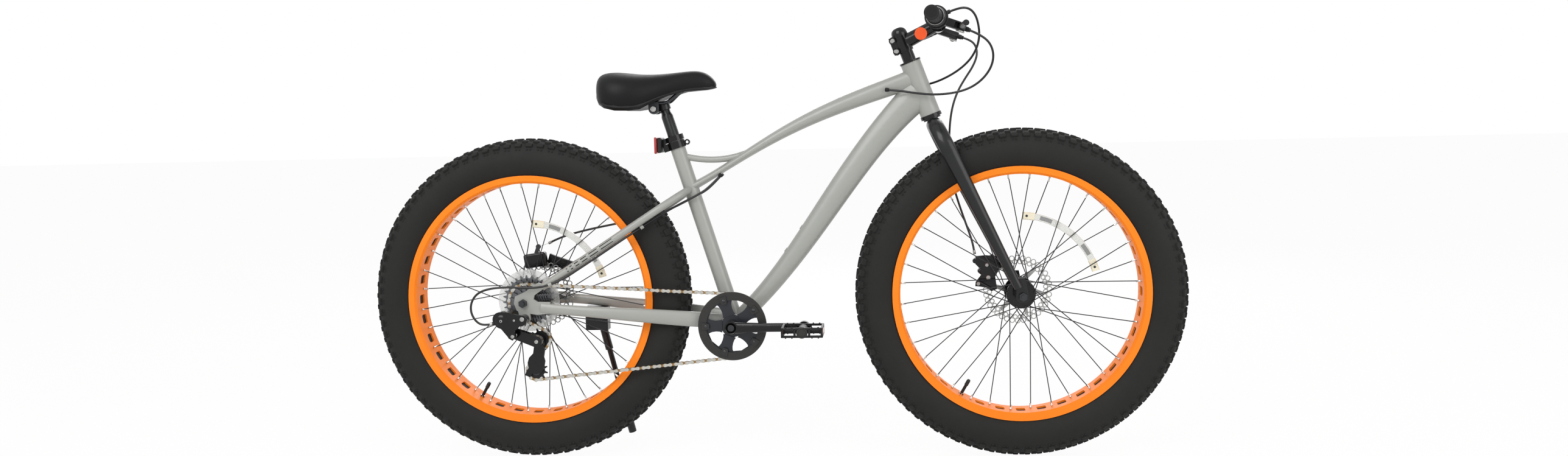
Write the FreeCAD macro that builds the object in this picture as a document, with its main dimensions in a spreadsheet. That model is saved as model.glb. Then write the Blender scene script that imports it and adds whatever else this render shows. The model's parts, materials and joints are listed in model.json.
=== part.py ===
"""Fat tire bike: a parametric assembly of separate solids, in millimetres.

The origin is on the ground midway between the axles. +X points forward, +Y to the rider's left, +Z up.
The drive side is the right side, at negative Y.
"""
import FreeCAD, Part
import math
import os

Vector = FreeCAD.Vector
AHEAD, LEFT, UP = Vector(1, 0, 0), Vector(0, 1, 0), Vector(0, 0, 1)
ORIGIN = Vector(0, 0, 0)

DOC = FreeCAD.newDocument("fat_tire_bike")
d = DOC.addObject("Spreadsheet::Sheet", "d")

# Driving dimensions: lengths in millimetres, angles in degrees.
SIZES = {
    # wheels
    "wheelbase": 1130, "wheel_radius": 375, "tire_width": 98, "tire_wall": 4, "tread_wall": 6,
    "lug_height": 4, "lug_length": 22, "lug_width": 21, "lug_count": 48, "shoulder_lean": 40,
    "rim_radius": 289.5, "rim_width": 80, "rim_side": 18, "rim_wall": 3, "cutout_length": 27,
    "cutout_width": 21, "cutout_corner": 5, "valve_place": 21, "spoke_count": 36, "spoke_radius": 1.1,
    "spoke_spread": 8, "valve_radius": 3.5, "valve_length": 38, "valve_nut_radius": 5.5,
    "valve_nut_height": 3, "axle_radius": 5, "nut_width": 17,
    "nut_height": 9, "hub_radius": 17, "flange_radius": 33, "flange_thickness": 3.5, "hub_end_radius": 14,
    "front_hub_width": 135, "front_flange": 30, "rear_hub_width": 170, "rear_flange_right": 34,
    "rear_flange_left": 46, "cone_radius": 9, "cone_length": 6,
    "rotor_radius": 80, "rotor_thickness": 1.8, "rotor_track": 16, "rotor_arms": 6, "rotor_vents": 24,
    "front_rotor_offset": 50, "rear_rotor_offset": 66, "caliper_angle_front": 140, "caliper_angle_rear": 98,
    "caliper_height": 34, "caliper_length": 54, "caliper_half_width": 11, "rotor_gap": 1,
    "reflector_radius": 176, "reflector_start": 16, "reflector_span": 72, "reflector_width": 17,
    "reflector_thickness": 6,
    # frame
    "head_angle": 69.6, "head_tube_length": 125, "head_tube_radius": 23, "head_bore": 17, "cup_radius": 24.5,
    "lower_cup": 8, "upper_cup": 4, "cup_skirt": 15, "seat_angle": 72.9, "seat_tube_radius": 17.5,
    "seat_tube_length": 453, "chain_stay_reach": 477, "bracket_drop": 60.5, "shell_width": 100,
    "shell_radius": 22, "shell_bore": 18, "top_tube_head_drop": 35, "top_tube_seat_station": 328,
    "top_tube_head_slope": 18.5, "top_tube_seat_slope": 29.4, "top_tube_head_height": 44,
    "top_tube_seat_height": 20, "top_tube_width": 36, "down_tube_head_rise": 57, "down_tube_slope": 41,
    "down_tube_head_height": 64, "down_tube_shell_height": 42, "down_tube_width": 42, "brace_station": 407,
    "brace_radius": 7.5, "stay_spread": 73, "seat_stay_radius": 8.5, "chain_stay_front_height": 35,
    "chain_stay_rear_height": 24, "chain_stay_width": 19, "dropout_thickness": 6, "bottle_first": 206,
    "bottle_spacing": 64, "boss_radius": 5.5, "boss_bore": 2.5, "boss_depth": 14, "boss_stand": 1.2,
    "running_gap": 0.05, "clear_gap": 0.3,
    # fork and steering
    "fork_length": 440, "fork_rake": 42, "crown_stack": 12, "steerer_radius": 12.7, "steerer_top": 200,
    "race_radius": 20, "blade_depth": 36, "blade_width": 25, "blade_tip_depth": 19, "blade_spread": 73,
    "spacer_radius": 15, "stem_station": 172, "stem_clamp_height": 40, "stem_clamp_radius": 18,
    "stem_length": 89, "stem_rise": 6.7, "stem_width": 34, "stem_depth": 34, "bar_radius": 11.1,
    "bar_clamp_radius": 12.7, "bar_half_width": 333, "bar_bend": 110, "bar_sweep": 6.5, "stem_bar_wall": 6,
    "grip_radius": 15.5, "grip_length": 128, "right_grip_length": 88, "twist_length": 46, "twist_radius": 18,
    "twist_flange": 24.5, "shifter_length": 26, "shifter_radius": 22, "perch_station": 150,
    "perch_width": 16,
    "perch_radius": 15.5, "lever_reach": 52, "lever_drop": 20, "lever_length": 132, "lever_thickness": 11,
    "pivot_radius": 3, "bolt_head_radius": 4, "bolt_head_height": 5, "barrel_reach": 20,
    "barrel_radius": 4.5, "cable_radius": 2.5,
    # drive
    "chain_pitch": 12.7, "chainring_teeth": 36, "pulley_teeth": 11, "drive_cog_teeth": 20, "cog_spacing": 5,
    "sprocket_thickness": 2, "roller_radius": 3.3, "plate_height": 8, "plate_thickness": 0.8,
    "chain_inner_half": 1.6, "chain_line": 64, "guard_radius": 78.5, "guard_inner": 60, "guard_thickness": 3,
    "crank_length": 165, "crank_offset": 94, "crank_boss_radius": 15, "spindle_radius": 8,
    "crank_depth": 26, "crank_thickness": 13, "crank_eye_radius": 14, "pedal_axle_radius": 6.5,
    "pedal_length": 96, "pedal_width": 66, "pedal_height": 26, "pedal_barrel": 11, "pedal_wall": 8,
    "pedal_gap": 6, "protector_radius": 72, "protector_thickness": 1.2,
    "guide_ahead": 30, "guide_below": 87, "cage_length": 74, "cage_lean": 7, "cage_plate": 2,
    "cage_half_gap": 5.2, "cage_pin_radius": 3, "shift_travel": 15,
    # seat and stand
    "seat_post_radius": 13.6, "seat_post_length": 205, "seat_post_out": 82, "post_neck_radius": 11,
    "post_neck_length": 26, "collar_height": 12, "collar_wall": 4, "band_height": 17, "saddle_length": 276,
    "saddle_half_width": 92, "saddle_nose_half_width": 25, "rail_spread": 21, "rail_radius": 3.5,
    "knuckle_radius": 12, "knuckle_back": 20, "knuckle_drop": 10, "reflector_height": 38,
    "reflector_half_width": 27,
    "stand_ahead": 137, "stand_drop": 85, "stand_offset": 92, "stand_radius": 6.5, "stand_lean": 0.205,
    "stand_splay": 42, "sleeve_radius": 9.5,
}
for row, (alias, value) in enumerate(SIZES.items(), start=1):
    d.set(f"A{row}", alias)
    d.set(f"B{row}", str(value))
    d.setAlias(f"B{row}", alias)
DOC.recompute()

NODES = []


def unit(vector):
    """The vector with a length of one."""
    return vector * (1.0 / vector.Length)


def heading(degrees, plane_up=UP):
    """A unit vector in the mid-plane, raised from straight ahead by an angle."""
    angle = math.radians(degrees)
    return AHEAD * math.cos(angle) + plane_up * math.sin(angle)


def node(label, obj):
    """Names a finished sub-part after its node and keeps it for export."""
    obj.Label = label
    NODES.append(obj)
    return obj


def solid(name, shape):
    """A document object that holds a shape made with Part's own functions."""
    obj = DOC.addObject("Part::Feature", name)
    obj.Shape = shape
    return obj


def cylinder(name, radius, height, base, axis):
    """A cylinder whose radius and height are bound to the sheet."""
    obj = DOC.addObject("Part::Cylinder", name)
    obj.setExpression("Radius", radius)
    obj.setExpression("Height", height)
    obj.Placement = FreeCAD.Placement(base, FreeCAD.Rotation(UP, axis))
    return obj


def cut(name, base, *tools):
    """The base with each tool taken away in turn."""
    for count, tool in enumerate(tools):
        step = DOC.addObject("Part::Cut", f"{name}_cut_{count}")
        step.Base, step.Tool = base, tool
        base = step
    return base


def fuse(name, *shapes):
    """One solid from several overlapping ones."""
    obj = DOC.addObject("Part::MultiFuse", name)
    obj.Shapes = list(shapes)
    return obj


def group(name, *shapes):
    """Separate solids that share one node."""
    obj = DOC.addObject("Part::Compound", name)
    obj.Links = list(shapes)
    return obj


def mirror(name, source):
    """The source mirrored in the bike's mid-plane."""
    obj = DOC.addObject("Part::Mirroring", name)
    obj.Source = source
    obj.Normal = LEFT
    return obj


def oval(centre, tangent, side, half_across, half_side):
    """A closed oval of four arcs square to the tangent, with one half-axis along the side direction."""
    tangent = unit(tangent)
    side = unit(side - tangent * side.dot(tangent))
    across = tangent.cross(side)
    join = math.radians(60 if half_across >= half_side else 30)
    spread = (half_across - half_side) / (math.cos(join) + math.sin(join) - 1)
    end_radius = half_across - spread * math.cos(join)
    x, y = half_across - end_radius * (1 - math.cos(join)), end_radius * math.sin(join)
    loop = [(x, -y), (half_across, 0), (x, y), (0, half_side), (-x, y), (-half_across, 0), (-x, -y),
        (0, -half_side)]
    points = [centre + across * u + side * v for u, v in loop]
    return Part.Wire([Part.Arc(points[k], points[k + 1], points[(k + 2) % 8]).toShape() for k in (0, 2, 4,
        6)])


def cubic(controls, share):
    """Point and tangent of a cubic curve at a share of its run."""
    p, rest = controls, 1.0 - share
    point = (p[0] * rest**3 + p[1] * (3 * rest**2 * share) + p[2] * (3 * rest * share**2) + p[3] * share**3)
    slope = (p[1] - p[0]) * rest**2 + (p[2] - p[1]) * (2 * rest * share) + (p[3] - p[2]) * share**2
    return point, slope


def tapered_tube(controls, stations, side=LEFT, ruled=False):
    """A drawn tube on a cubic curve; each station is (share, height, width)."""
    sections = []
    for share, height, width in stations:
        point, slope = cubic(controls, share)
        sections.append(oval(point, slope, side, height / 2, width / 2))
    return Part.makeLoft(sections, True, ruled)


def bent_wire(points, bend=None):
    """Straight runs joined by tangent arcs, as large as the runs allow unless a bend radius is given."""
    edges, start = [], points[0]
    for before, corner, after in zip(points, points[1:], points[2:]):
        back, ahead = unit(before - corner), unit(after - corner)
        half_turn = (math.pi - back.getAngle(ahead)) / 2
        shorter = min((before - corner).Length, (after - corner).Length)
        reach = 0.45 * shorter if bend is None else bend * math.tan(half_turn)
        radius = reach / math.tan(half_turn)
        bisector = unit(back + ahead)
        middle = corner + bisector * (radius / math.cos(half_turn) - radius)
        edges.append(Part.LineSegment(start, corner + back * reach).toShape())
        edges.append(Part.Arc(corner + back * reach, middle, corner + ahead * reach).toShape())
        start = corner + ahead * reach
    edges.append(Part.LineSegment(start, points[-1]).toShape())
    return Part.Wire(edges)


def pipe(points, radius, bend=None):
    """A round rod or tube along a bent wire."""
    wire = bent_wire(points, bend)
    ring = Part.Wire(Part.makeCircle(radius, points[0], points[1] - points[0]))
    return wire.makePipeShell([ring], True, False)


def body(name):
    """A new PartDesign body."""
    return DOC.addObject("PartDesign::Body", name)


def origin_feature(owner, role):
    """One of a body's own origin planes or axes."""
    return next(feature for feature in owner.Origin.OriginFeatures if feature.Role == role)


def sketch(owner, plane, name, edges, offset=None):
    """A sketch of the given edges on one of the body's own planes."""
    obj = owner.newObject("Sketcher::SketchObject", name)
    obj.AttachmentSupport = [(origin_feature(owner, plane), "")]
    obj.MapMode = "FlatFace"
    if offset is not None:
        obj.AttachmentOffset = offset
    obj.addGeometry(edges, False)
    return obj


def polygon(points):
    """Line segments that close a loop of flat points."""
    corners = [Vector(x, y, 0) for x, y in points]
    return [Part.LineSegment(a, b) for a, b in zip(corners, corners[1:] + corners[:1])]


def circle(radius, x=0.0, y=0.0):
    """A flat circle."""
    return Part.Circle(Vector(x, y, 0), UP, radius)


def arc(*points):
    """A flat arc through three points."""
    return Part.Arc(*[Vector(x, y, 0) for x, y in points])


def revolution(owner, name, profile):
    """Turns a profile, drawn as (along the axle, radius), once about the body's Y axis."""
    obj = owner.newObject("PartDesign::Revolution", name)
    obj.Profile = profile
    obj.ReferenceAxis = (profile, ["H_Axis"])
    obj.Angle = 360
    return obj


def pad(owner, name, profile, length, symmetric=False):
    """Pads a profile by a length bound to the sheet."""
    obj = owner.newObject("PartDesign::Pad", name)
    obj.Profile = profile
    obj.setExpression("Length", length)
    obj.Midplane = symmetric
    return obj


def pocket_through(owner, name, profile):
    """Cuts a profile through everything, both ways."""
    obj = owner.newObject("PartDesign::Pocket", name)
    obj.Profile = profile
    obj.Type = "ThroughAll"
    obj.Midplane = True
    return obj


def polar(owner, name, originals, axis, count):
    """Repeats features around one of the body's own axes."""
    obj = owner.newObject("PartDesign::PolarPattern", name)
    obj.Originals = originals
    obj.Axis = (origin_feature(owner, axis), [""])
    obj.Angle = 360
    obj.setExpression("Occurrences", count)
    owner.Tip = obj
    return obj


def place(owner, point):
    """Moves a body, built round its own origin, to its place on the bike."""
    owner.Placement = FreeCAD.Placement(point, FreeCAD.Rotation())
    return owner


# Main points of the bike.
rear_axle = Vector(-d.wheelbase / 2, 0, d.wheel_radius)
front_axle = Vector(d.wheelbase / 2, 0, d.wheel_radius)
bracket = Vector(rear_axle.x + d.chain_stay_reach, 0, d.wheel_radius - d.bracket_drop)
steer_up = heading(180 - d.head_angle)
steer_ahead = heading(90 - d.head_angle)
head_bottom = front_axle - steer_ahead * d.fork_rake + steer_up * (d.fork_length + d.crown_stack)
seat_up = heading(180 - d.seat_angle)


def on_steerer(rise, ahead=0.0, side=0.0):
    """A point measured along the steering axis from the head tube's lower end."""
    return head_bottom + steer_up * rise + steer_ahead * ahead + LEFT * side


def on_seat_tube(rise, ahead=0.0, side=0.0):
    """A point measured along the seat tube from the bottom bracket."""
    square = LEFT.cross(seat_up)
    return bracket + seat_up * rise + square * ahead + LEFT * side


# Head tube, seat tube and bottom bracket shell.
head_blank = cylinder("head_blank", "d.head_tube_radius", "d.head_tube_length", head_bottom, steer_up)
head_hole = cylinder("head_hole", "d.head_bore", "d.head_tube_length", head_bottom, steer_up)
node("head_tube", cut("head_tube", head_blank, head_hole))

shell_blank = cylinder("shell_blank", "d.shell_radius", "d.shell_width",
                       bracket - LEFT * (d.shell_width / 2), LEFT)
shell_hole = cylinder("shell_hole", "d.shell_bore", "d.shell_width", bracket - LEFT * (d.shell_width / 2),
    LEFT)
seat_blank = cylinder("seat_blank", "d.seat_tube_radius", "d.seat_tube_length", bracket, seat_up)
post_bottom = d.seat_tube_length + d.seat_post_out - d.seat_post_length
bore_depth = d.seat_post_length
seat_hole = cylinder("seat_hole", "d.seat_post_radius + d.running_gap", "d.seat_post_length",
                     on_seat_tube(d.seat_tube_length - bore_depth), seat_up)
seat_shell = fuse("seat_shell", seat_blank, shell_blank)
node("seat_tube", cut("seat_tube", seat_shell, shell_hole, seat_hole))

# Curved top tube with its seat brace.
top_head = on_steerer(d.head_tube_length - d.top_tube_head_drop)
top_seat = on_seat_tube(d.top_tube_seat_station)
top_arm = 0.52 * (top_head - top_seat).Length
top_curve = [top_head, top_head - heading(d.top_tube_head_slope) * top_arm,
             top_seat + heading(d.top_tube_seat_slope) * top_arm, top_seat]
middle_height = (d.top_tube_head_height + 2 * d.top_tube_seat_height) / 3
top_loft = solid("top_loft", tapered_tube(top_curve, [
    (0.0, d.top_tube_head_height, d.top_tube_width), (0.12, d.top_tube_head_height - 4, d.top_tube_width),
    (0.5, middle_height, d.top_tube_width), (0.75, d.top_tube_seat_height, d.top_tube_width - 2),
    (1.0, d.top_tube_seat_height, d.top_tube_width - 4)]))
brace_foot = on_seat_tube(d.brace_station)
brace_tip, brace_slope = cubic(top_curve, 0.7)
brace_arm = 0.42 * (brace_tip - brace_foot).Length
brace_curve = [brace_foot, brace_foot + heading(-14) * brace_arm, brace_tip + unit(brace_slope) * brace_arm,
    brace_tip]
brace_width = 2 * d.brace_radius
brace_loft = solid("brace_loft", tapered_tube(brace_curve, [
    (share, brace_width, brace_width) for share in (0.0, 0.3, 0.6, 1.0)]))
top_joined = fuse("top_joined", top_loft, brace_loft)
node("top_tube", cut("top_tube", top_joined, head_blank, seat_blank))

# Curved down tube with two threaded bottle bosses.
down_head = on_steerer(d.down_tube_head_rise)
down_arm = (down_head - bracket).Length / 3
down_curve = [down_head, down_head - heading(d.down_tube_slope) * down_arm,
              bracket + heading(d.down_tube_slope) * down_arm, bracket]
down_loft = solid("down_loft", tapered_tube(down_curve, [
    (0.0, d.down_tube_head_height + 10, d.down_tube_width),
    (0.14, d.down_tube_head_height, d.down_tube_width),
    (0.5, (d.down_tube_head_height + d.down_tube_shell_height) / 2, d.down_tube_width),
    (0.8, d.down_tube_shell_height, d.down_tube_width),
    (1.0, d.down_tube_shell_height - 4, d.down_tube_width)]))


def bottle_boss(run):
    """Boss and thread axis on the down tube's upper side, a distance along the tube from the bracket."""
    share = 1.0 - run / (down_head - bracket).Length
    point, slope = cubic(down_curve, share)
    normal = LEFT.cross(unit(slope))
    reach = Part.makeLine(point, point + normal * d.down_tube_head_height)
    wall = reach.common(down_loft.Shape).Length
    return point + normal * (wall + d.boss_stand), normal


bosses, threads = [], []
for count in range(2):
    mouth, normal = bottle_boss(d.bottle_first + count * d.bottle_spacing)
    print("bottle boss", [round(value, 3) for value in mouth], [round(value, 5) for value in normal])
    bosses.append(cylinder(f"boss_{count}", "d.boss_radius", "d.boss_depth", mouth - normal * d.boss_depth,
        normal))
    threads.append(cylinder(f"thread_{count}", "d.boss_bore", "d.boss_depth", mouth - normal * d.boss_depth,
        normal))
down_joined = fuse("down_joined", down_loft, *bosses)
node("down_tube", cut("down_tube", down_joined, head_blank, shell_blank, seat_blank, top_loft, *threads))

# Dropouts, chain stays and seat stays. Each side is built once on the right and mirrored.
rear_face = d.rear_hub_width / 2
dropout_outline = [(36, 47), (4, 26), (-19, 16), (-22, 0), (-16, -17), (2, -22), (32, -27), (62, -24),
                   (62, 2), (33, 3), (24, 9), (26, 18), (56, 38)]
hanger_outline = [(-14, -10), (-9, -40), (-2, -46), (10, -45), (15, -38), (14, -10)]


def dropout_body(name, outlines):
    """A dropout plate with the axle hole, drawn round the rear axle."""
    owner = body(name)
    for count, outline in enumerate(outlines):
        drawn = sketch(owner, "XZ_Plane", f"{name}_outline_{count}", polygon(outline))
        pad(owner, f"{name}_plate_{count}", drawn, "d.dropout_thickness")
    hole = sketch(owner, "XZ_Plane", f"{name}_hole", [circle(d.axle_radius + d.running_gap)])
    pocket_through(owner, f"{name}_axle_hole", hole)
    return place(owner, rear_axle - LEFT * rear_face)


def rear_point(ahead, above, side):
    """A point measured from the rear axle."""
    return rear_axle + Vector(ahead, side, above)


stay_end = rear_face + d.dropout_thickness / 2
stay_root = bracket + Vector(-8, -(d.shell_width / 2 - 15), 5)
stay_curve = [stay_root, stay_root + Vector(-62, -9, 6),
    rear_point(0.62 * d.chain_stay_reach, -34, -d.stay_spread - 11),
              rear_point(40, -12, -stay_end)]
chain_loft = solid("chain_loft", tapered_tube(stay_curve, [
    (0.0, d.chain_stay_front_height - 4, d.chain_stay_width),
    (0.3, d.chain_stay_front_height, d.chain_stay_width),
    (0.65, d.chain_stay_front_height - 4, d.chain_stay_width), (1.0, d.chain_stay_rear_height, 12)]))
seat_root = on_seat_tube(d.top_tube_seat_station - 2)
seat_end = rear_point(44, 36, -stay_end + 4)
run = seat_end - seat_root
seat_pipe = solid("seat_pipe", pipe([
    Vector(seat_root.x, -6, seat_root.z),
    Vector(seat_root.x + 0.05 * run.x, -46, seat_root.z + 0.05 * run.z),
    Vector(seat_root.x + 0.2 * run.x, -d.stay_spread, seat_root.z + 0.2 * run.z),
    Vector(seat_root.x + 0.55 * run.x, -d.stay_spread - 4, seat_root.z + 0.55 * run.z), seat_end],
    d.seat_stay_radius))
plain_dropout = dropout_body("plain_dropout", [dropout_outline])
hanger_dropout = dropout_body("hanger_dropout", [dropout_outline, hanger_outline])
right_chain_stay = cut("right_chain_stay", fuse("right_chain_joined", chain_loft, hanger_dropout),
    shell_blank)
left_chain_stay = mirror("left_chain_stay",
    cut("left_chain_half", fuse("left_chain_joined", chain_loft, plain_dropout),
                                                shell_blank))
node("chain_stays", group("chain_stays", right_chain_stay, left_chain_stay))
right_seat_stay = cut("right_seat_stay", seat_pipe, seat_blank, top_loft, plain_dropout, chain_loft)
node("seat_stays", group("seat_stays", right_seat_stay, mirror("left_seat_stay", right_seat_stay)))


def cup(name, base, axis, flange, flange_height, skirt, inner):
    """A bearing cup: a flange outside its tube, a skirt pressed inside, and a bore for the shaft."""
    outside = cylinder(f"{name}_flange", flange, flange_height, base, axis)
    inside = cylinder(f"{name}_skirt", skirt, "d.cup_skirt", base, axis * -1)
    joined = fuse(f"{name}_joined", outside, inside)
    reach = cylinder(f"{name}_bore", inner, f"d.cup_skirt + {flange_height}", base - axis * d.cup_skirt,
        axis)
    return cut(name, joined, reach)


steerer_bore = "d.steerer_radius + d.running_gap"
spindle_bore = "d.spindle_radius + d.running_gap"
node("bearing_cups", group(
    "bearing_cups",
    cup("upper_cup", on_steerer(d.head_tube_length), steer_up, "d.cup_radius", "d.upper_cup", "d.head_bore",
        steerer_bore),
    cup("lower_cup", head_bottom, steer_up * -1, "d.cup_radius", "d.lower_cup", "d.head_bore", steerer_bore),
    cup("right_cup", bracket - LEFT * (d.shell_width / 2), LEFT * -1, "d.shell_radius", "d.upper_cup",
        "d.shell_bore", spindle_bore),
    cup("left_cup", bracket + LEFT * (d.shell_width / 2), LEFT, "d.shell_radius", "d.upper_cup",
        "d.shell_bore",
        spindle_bore)))


# Fork: steerer, crown race, two blades that spread from the crown, and plates for the front axle.
def blade_section(rise, ahead, side, slope, depth, width):
    """An oval section of the right blade; the slope is (rise, ahead, side)."""
    tangent = steer_up * slope[0] + steer_ahead * slope[1] - LEFT * slope[2]
    return oval(on_steerer(rise, ahead, -side), tangent, steer_ahead, width / 2, depth / 2)


front_face = d.front_hub_width / 2
crown = -d.crown_stack
tip = -(d.fork_length + d.crown_stack)
crown_sections = [
    blade_section(crown - 12, 0, 2, (0, 0, 1), d.blade_depth - 2, 30),
    blade_section(crown - 14, 0, 0.4 * d.blade_spread, (-0.12, 0, 0.99), d.blade_depth, 29),
    blade_section(crown - 24, 1, 0.72 * d.blade_spread, (-0.5, 0.02, 0.86), d.blade_depth,
        d.blade_width + 2),
    blade_section(crown - 44, 3, 0.93 * d.blade_spread, (-0.88, 0.05, 0.48), d.blade_depth, d.blade_width),
    blade_section(crown - 72, 6, d.blade_spread, (-1, 0.1, 0.02), d.blade_depth, d.blade_width)]
leg_sections = [
    crown_sections[-1],
    blade_section(0.55 * tip, 0.52 * d.fork_rake, d.blade_spread + 1, (-1, 0.1, 0.02), d.blade_depth - 8,
                  d.blade_width - 3),
    blade_section(tip + 22, d.fork_rake - 2, front_face + 9, (-1, 0.1, 0.02), d.blade_tip_depth, 17)]
crown_loft = solid("crown_loft", Part.makeLoft(crown_sections, True))
leg_loft = solid("leg_loft", Part.makeLoft(leg_sections, True, True))
fork_plate = body("fork_plate")
plate_outline = sketch(fork_plate, "XZ_Plane", "fork_plate_outline", polygon(
    [(-13, 42), (-15, -6), (-8, -14), (8, -14), (15, -6), (5, 42)]))
pad(fork_plate, "fork_plate_pad", plate_outline, "d.dropout_thickness")
plate_hole = sketch(fork_plate, "XZ_Plane", "fork_plate_hole", [circle(d.axle_radius + d.running_gap)])
pocket_through(fork_plate, "fork_axle_hole", plate_hole)
place(fork_plate, front_axle - LEFT * front_face)
right_blade = fuse("right_blade", crown_loft, leg_loft, fork_plate)
crown_race = cylinder("crown_race", "d.race_radius", "d.crown_stack - d.lower_cup - d.clear_gap",
                      on_steerer(crown), steer_up)
steerer = cylinder("steerer", "d.steerer_radius", "d.steerer_top + d.crown_stack + 20",
    on_steerer(crown - 20),
                   steer_up)
node("fork", fuse("fork", steerer, crown_race, right_blade, mirror("left_blade", right_blade)))

# Headset spacer and top cap, stem with its faceplate, and their bolts.
spacer_bottom = d.head_tube_length + d.upper_cup + d.clear_gap
stem_bottom = d.stem_station - d.stem_clamp_height / 2
spacer = solid("spacer", Part.makeCylinder(d.spacer_radius, stem_bottom - spacer_bottom,
    on_steerer(spacer_bottom),
                                           steer_up))
steerer_hole = cylinder("steerer_hole", "d.steerer_radius", "d.steerer_top", head_bottom, steer_up)
top_cap = cylinder("top_cap", "d.spacer_radius", "d.upper_cup", on_steerer(d.steerer_top), steer_up)
node("headset_spacer", group("headset_spacer", cut("spacer_ring", spacer, steerer_hole), top_cap))

stem_slope = 90 - d.head_angle + d.stem_rise
stem_ahead = heading(stem_slope)
stem_root = on_steerer(d.stem_station)
bar_centre = stem_root + stem_ahead * d.stem_length
stem_clamp = cylinder("stem_clamp", "d.stem_clamp_radius", "d.stem_clamp_height", on_steerer(stem_bottom),
    steer_up)
stem_neck = solid("stem_neck", Part.makeLoft([
    oval(stem_root, stem_ahead, LEFT, d.stem_depth / 2, d.stem_width / 2),
    oval(bar_centre, stem_ahead, LEFT, d.stem_depth / 2 - 2, d.stem_width / 2)], True))
ear_length = d.stem_clamp_radius + 9
ears = DOC.addObject("Part::Box", "stem_ears")
ears.setExpression("Length", "d.stem_clamp_radius + 9")
ears.setExpression("Width", "d.stem_width - 10")
ears.setExpression("Height", "d.stem_clamp_height")
ears.Placement = FreeCAD.Placement(
    on_steerer(stem_bottom, -ear_length, -(d.stem_width - 10) / 2),
    FreeCAD.Rotation(steer_ahead, LEFT, steer_up, "ZXY"))
bar_boss_length = d.stem_width + 12
bar_boss = cylinder("bar_boss", "d.bar_clamp_radius + d.stem_bar_wall", "d.stem_width + 12",
                    bar_centre - LEFT * (bar_boss_length / 2), LEFT)
bar_hole = cylinder("bar_hole", "d.bar_clamp_radius", "d.stem_width + 12",
                    bar_centre - LEFT * (bar_boss_length / 2), LEFT)
stem_blank = fuse("stem_blank", stem_clamp, stem_neck, ears, bar_boss)
half_box = DOC.addObject("Part::Box", "faceplate_half")
half_box.Length, half_box.Width, half_box.Height = d.stem_length, 2 * bar_boss_length, d.stem_length
half_box.Placement = FreeCAD.Placement(
    bar_centre + stem_ahead * 0.6 - LEFT * bar_boss_length - stem_ahead.cross(LEFT) * (d.stem_length / 2),
    FreeCAD.Rotation(stem_ahead, LEFT, stem_ahead.cross(LEFT), "ZXY"))
split_box = DOC.addObject("Part::Box", "faceplate_split")
split_box.Length, split_box.Width, split_box.Height = d.stem_length, 2 * bar_boss_length, d.stem_length
split_box.Placement = FreeCAD.Placement(
    bar_centre - stem_ahead * 0.6 - LEFT * bar_boss_length - stem_ahead.cross(LEFT) * (d.stem_length / 2),
    FreeCAD.Rotation(stem_ahead, LEFT, stem_ahead.cross(LEFT), "ZXY"))
faceplate = DOC.addObject("Part::Common", "faceplate")
faceplate.Base, faceplate.Tool = cut("bar_ring", bar_boss, bar_hole), half_box
node("stem", group("stem", cut("stem_body", stem_blank, steerer_hole, bar_hole, split_box), faceplate))

# Handlebar, grips, twist shifter and brake levers.
sweep = math.radians(d.bar_sweep)
bar_run = d.bar_half_width - d.bar_bend
bar_end = Vector(bar_centre.x - bar_run * math.tan(sweep), -d.bar_half_width, bar_centre.z)
bar_axis = unit(Vector(math.sin(sweep), math.cos(sweep), 0))


def on_bar(side, away=0.0, above=0.0):
    """A point on the right half of the bar at a distance from its middle, with offsets ahead and above."""
    back = max(0.0, side - d.bar_bend) * math.tan(sweep)
    return Vector(bar_centre.x - back + away, -side, bar_centre.z + above)


bend_right = on_bar(d.bar_bend)
bar_pipe = solid("bar_pipe", pipe([bar_end, bend_right, Vector(bend_right.x, d.bar_bend, bend_right.z),
                                   Vector(bar_end.x, d.bar_half_width, bar_end.z)], d.bar_radius, 180))
bar_sleeve = cylinder("bar_sleeve", "d.bar_clamp_radius", "d.stem_width + 40",
                      bar_centre - LEFT * (d.stem_width / 2 + 20), LEFT)
node("handlebar", fuse("handlebar", bar_pipe, bar_sleeve))

bar_core = cylinder("bar_core", "d.bar_radius", "d.bar_half_width", bar_end, bar_axis)
bar_room = cylinder("bar_room", "d.bar_radius + d.running_gap", "d.bar_half_width", bar_end, bar_axis)


def sleeve(name, radius, length, start, tool, end_radius=None):
    """A sleeve on the right half of the bar, from a distance along it measured from the bar's end."""
    base = bar_end + bar_axis * start
    outer = Part.makeCylinder(radius, length, base, bar_axis)
    if end_radius is not None:
        outer = Part.makeCone(end_radius, radius, length, base, bar_axis)
    return cut(name, solid(f"{name}_outer", outer), tool)


twist_start = d.right_grip_length + d.clear_gap
shifter_start = twist_start + d.twist_length + d.clear_gap
left_grip = mirror("left_grip", sleeve("left_grip_half", d.grip_radius, d.grip_length, 0, bar_core))
node("grips", group("grips", sleeve("right_grip", d.grip_radius, d.right_grip_length, 0, bar_core),
    left_grip))
twist_barrel = sleeve("twist_barrel", d.twist_radius + 4, d.twist_length - 12, twist_start, bar_room,
    d.twist_radius)
twist_ring = sleeve("twist_ring", d.twist_flange, 12, twist_start + d.twist_length - 12, bar_room)
node("twist_grip", fuse("twist_grip", twist_barrel, twist_ring))

lever_ahead = heading(-d.lever_drop)
lever_axis = LEFT.cross(lever_ahead) * -1
perch_centre = on_bar(d.perch_station)
pivot = perch_centre + lever_ahead * d.lever_reach
perch_ring = cylinder("perch_ring", "d.perch_radius", "d.perch_width",
    perch_centre - bar_axis * (d.perch_width / 2),
                      bar_axis)
fork_gap = d.lever_thickness / 2 + d.clear_gap


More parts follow.
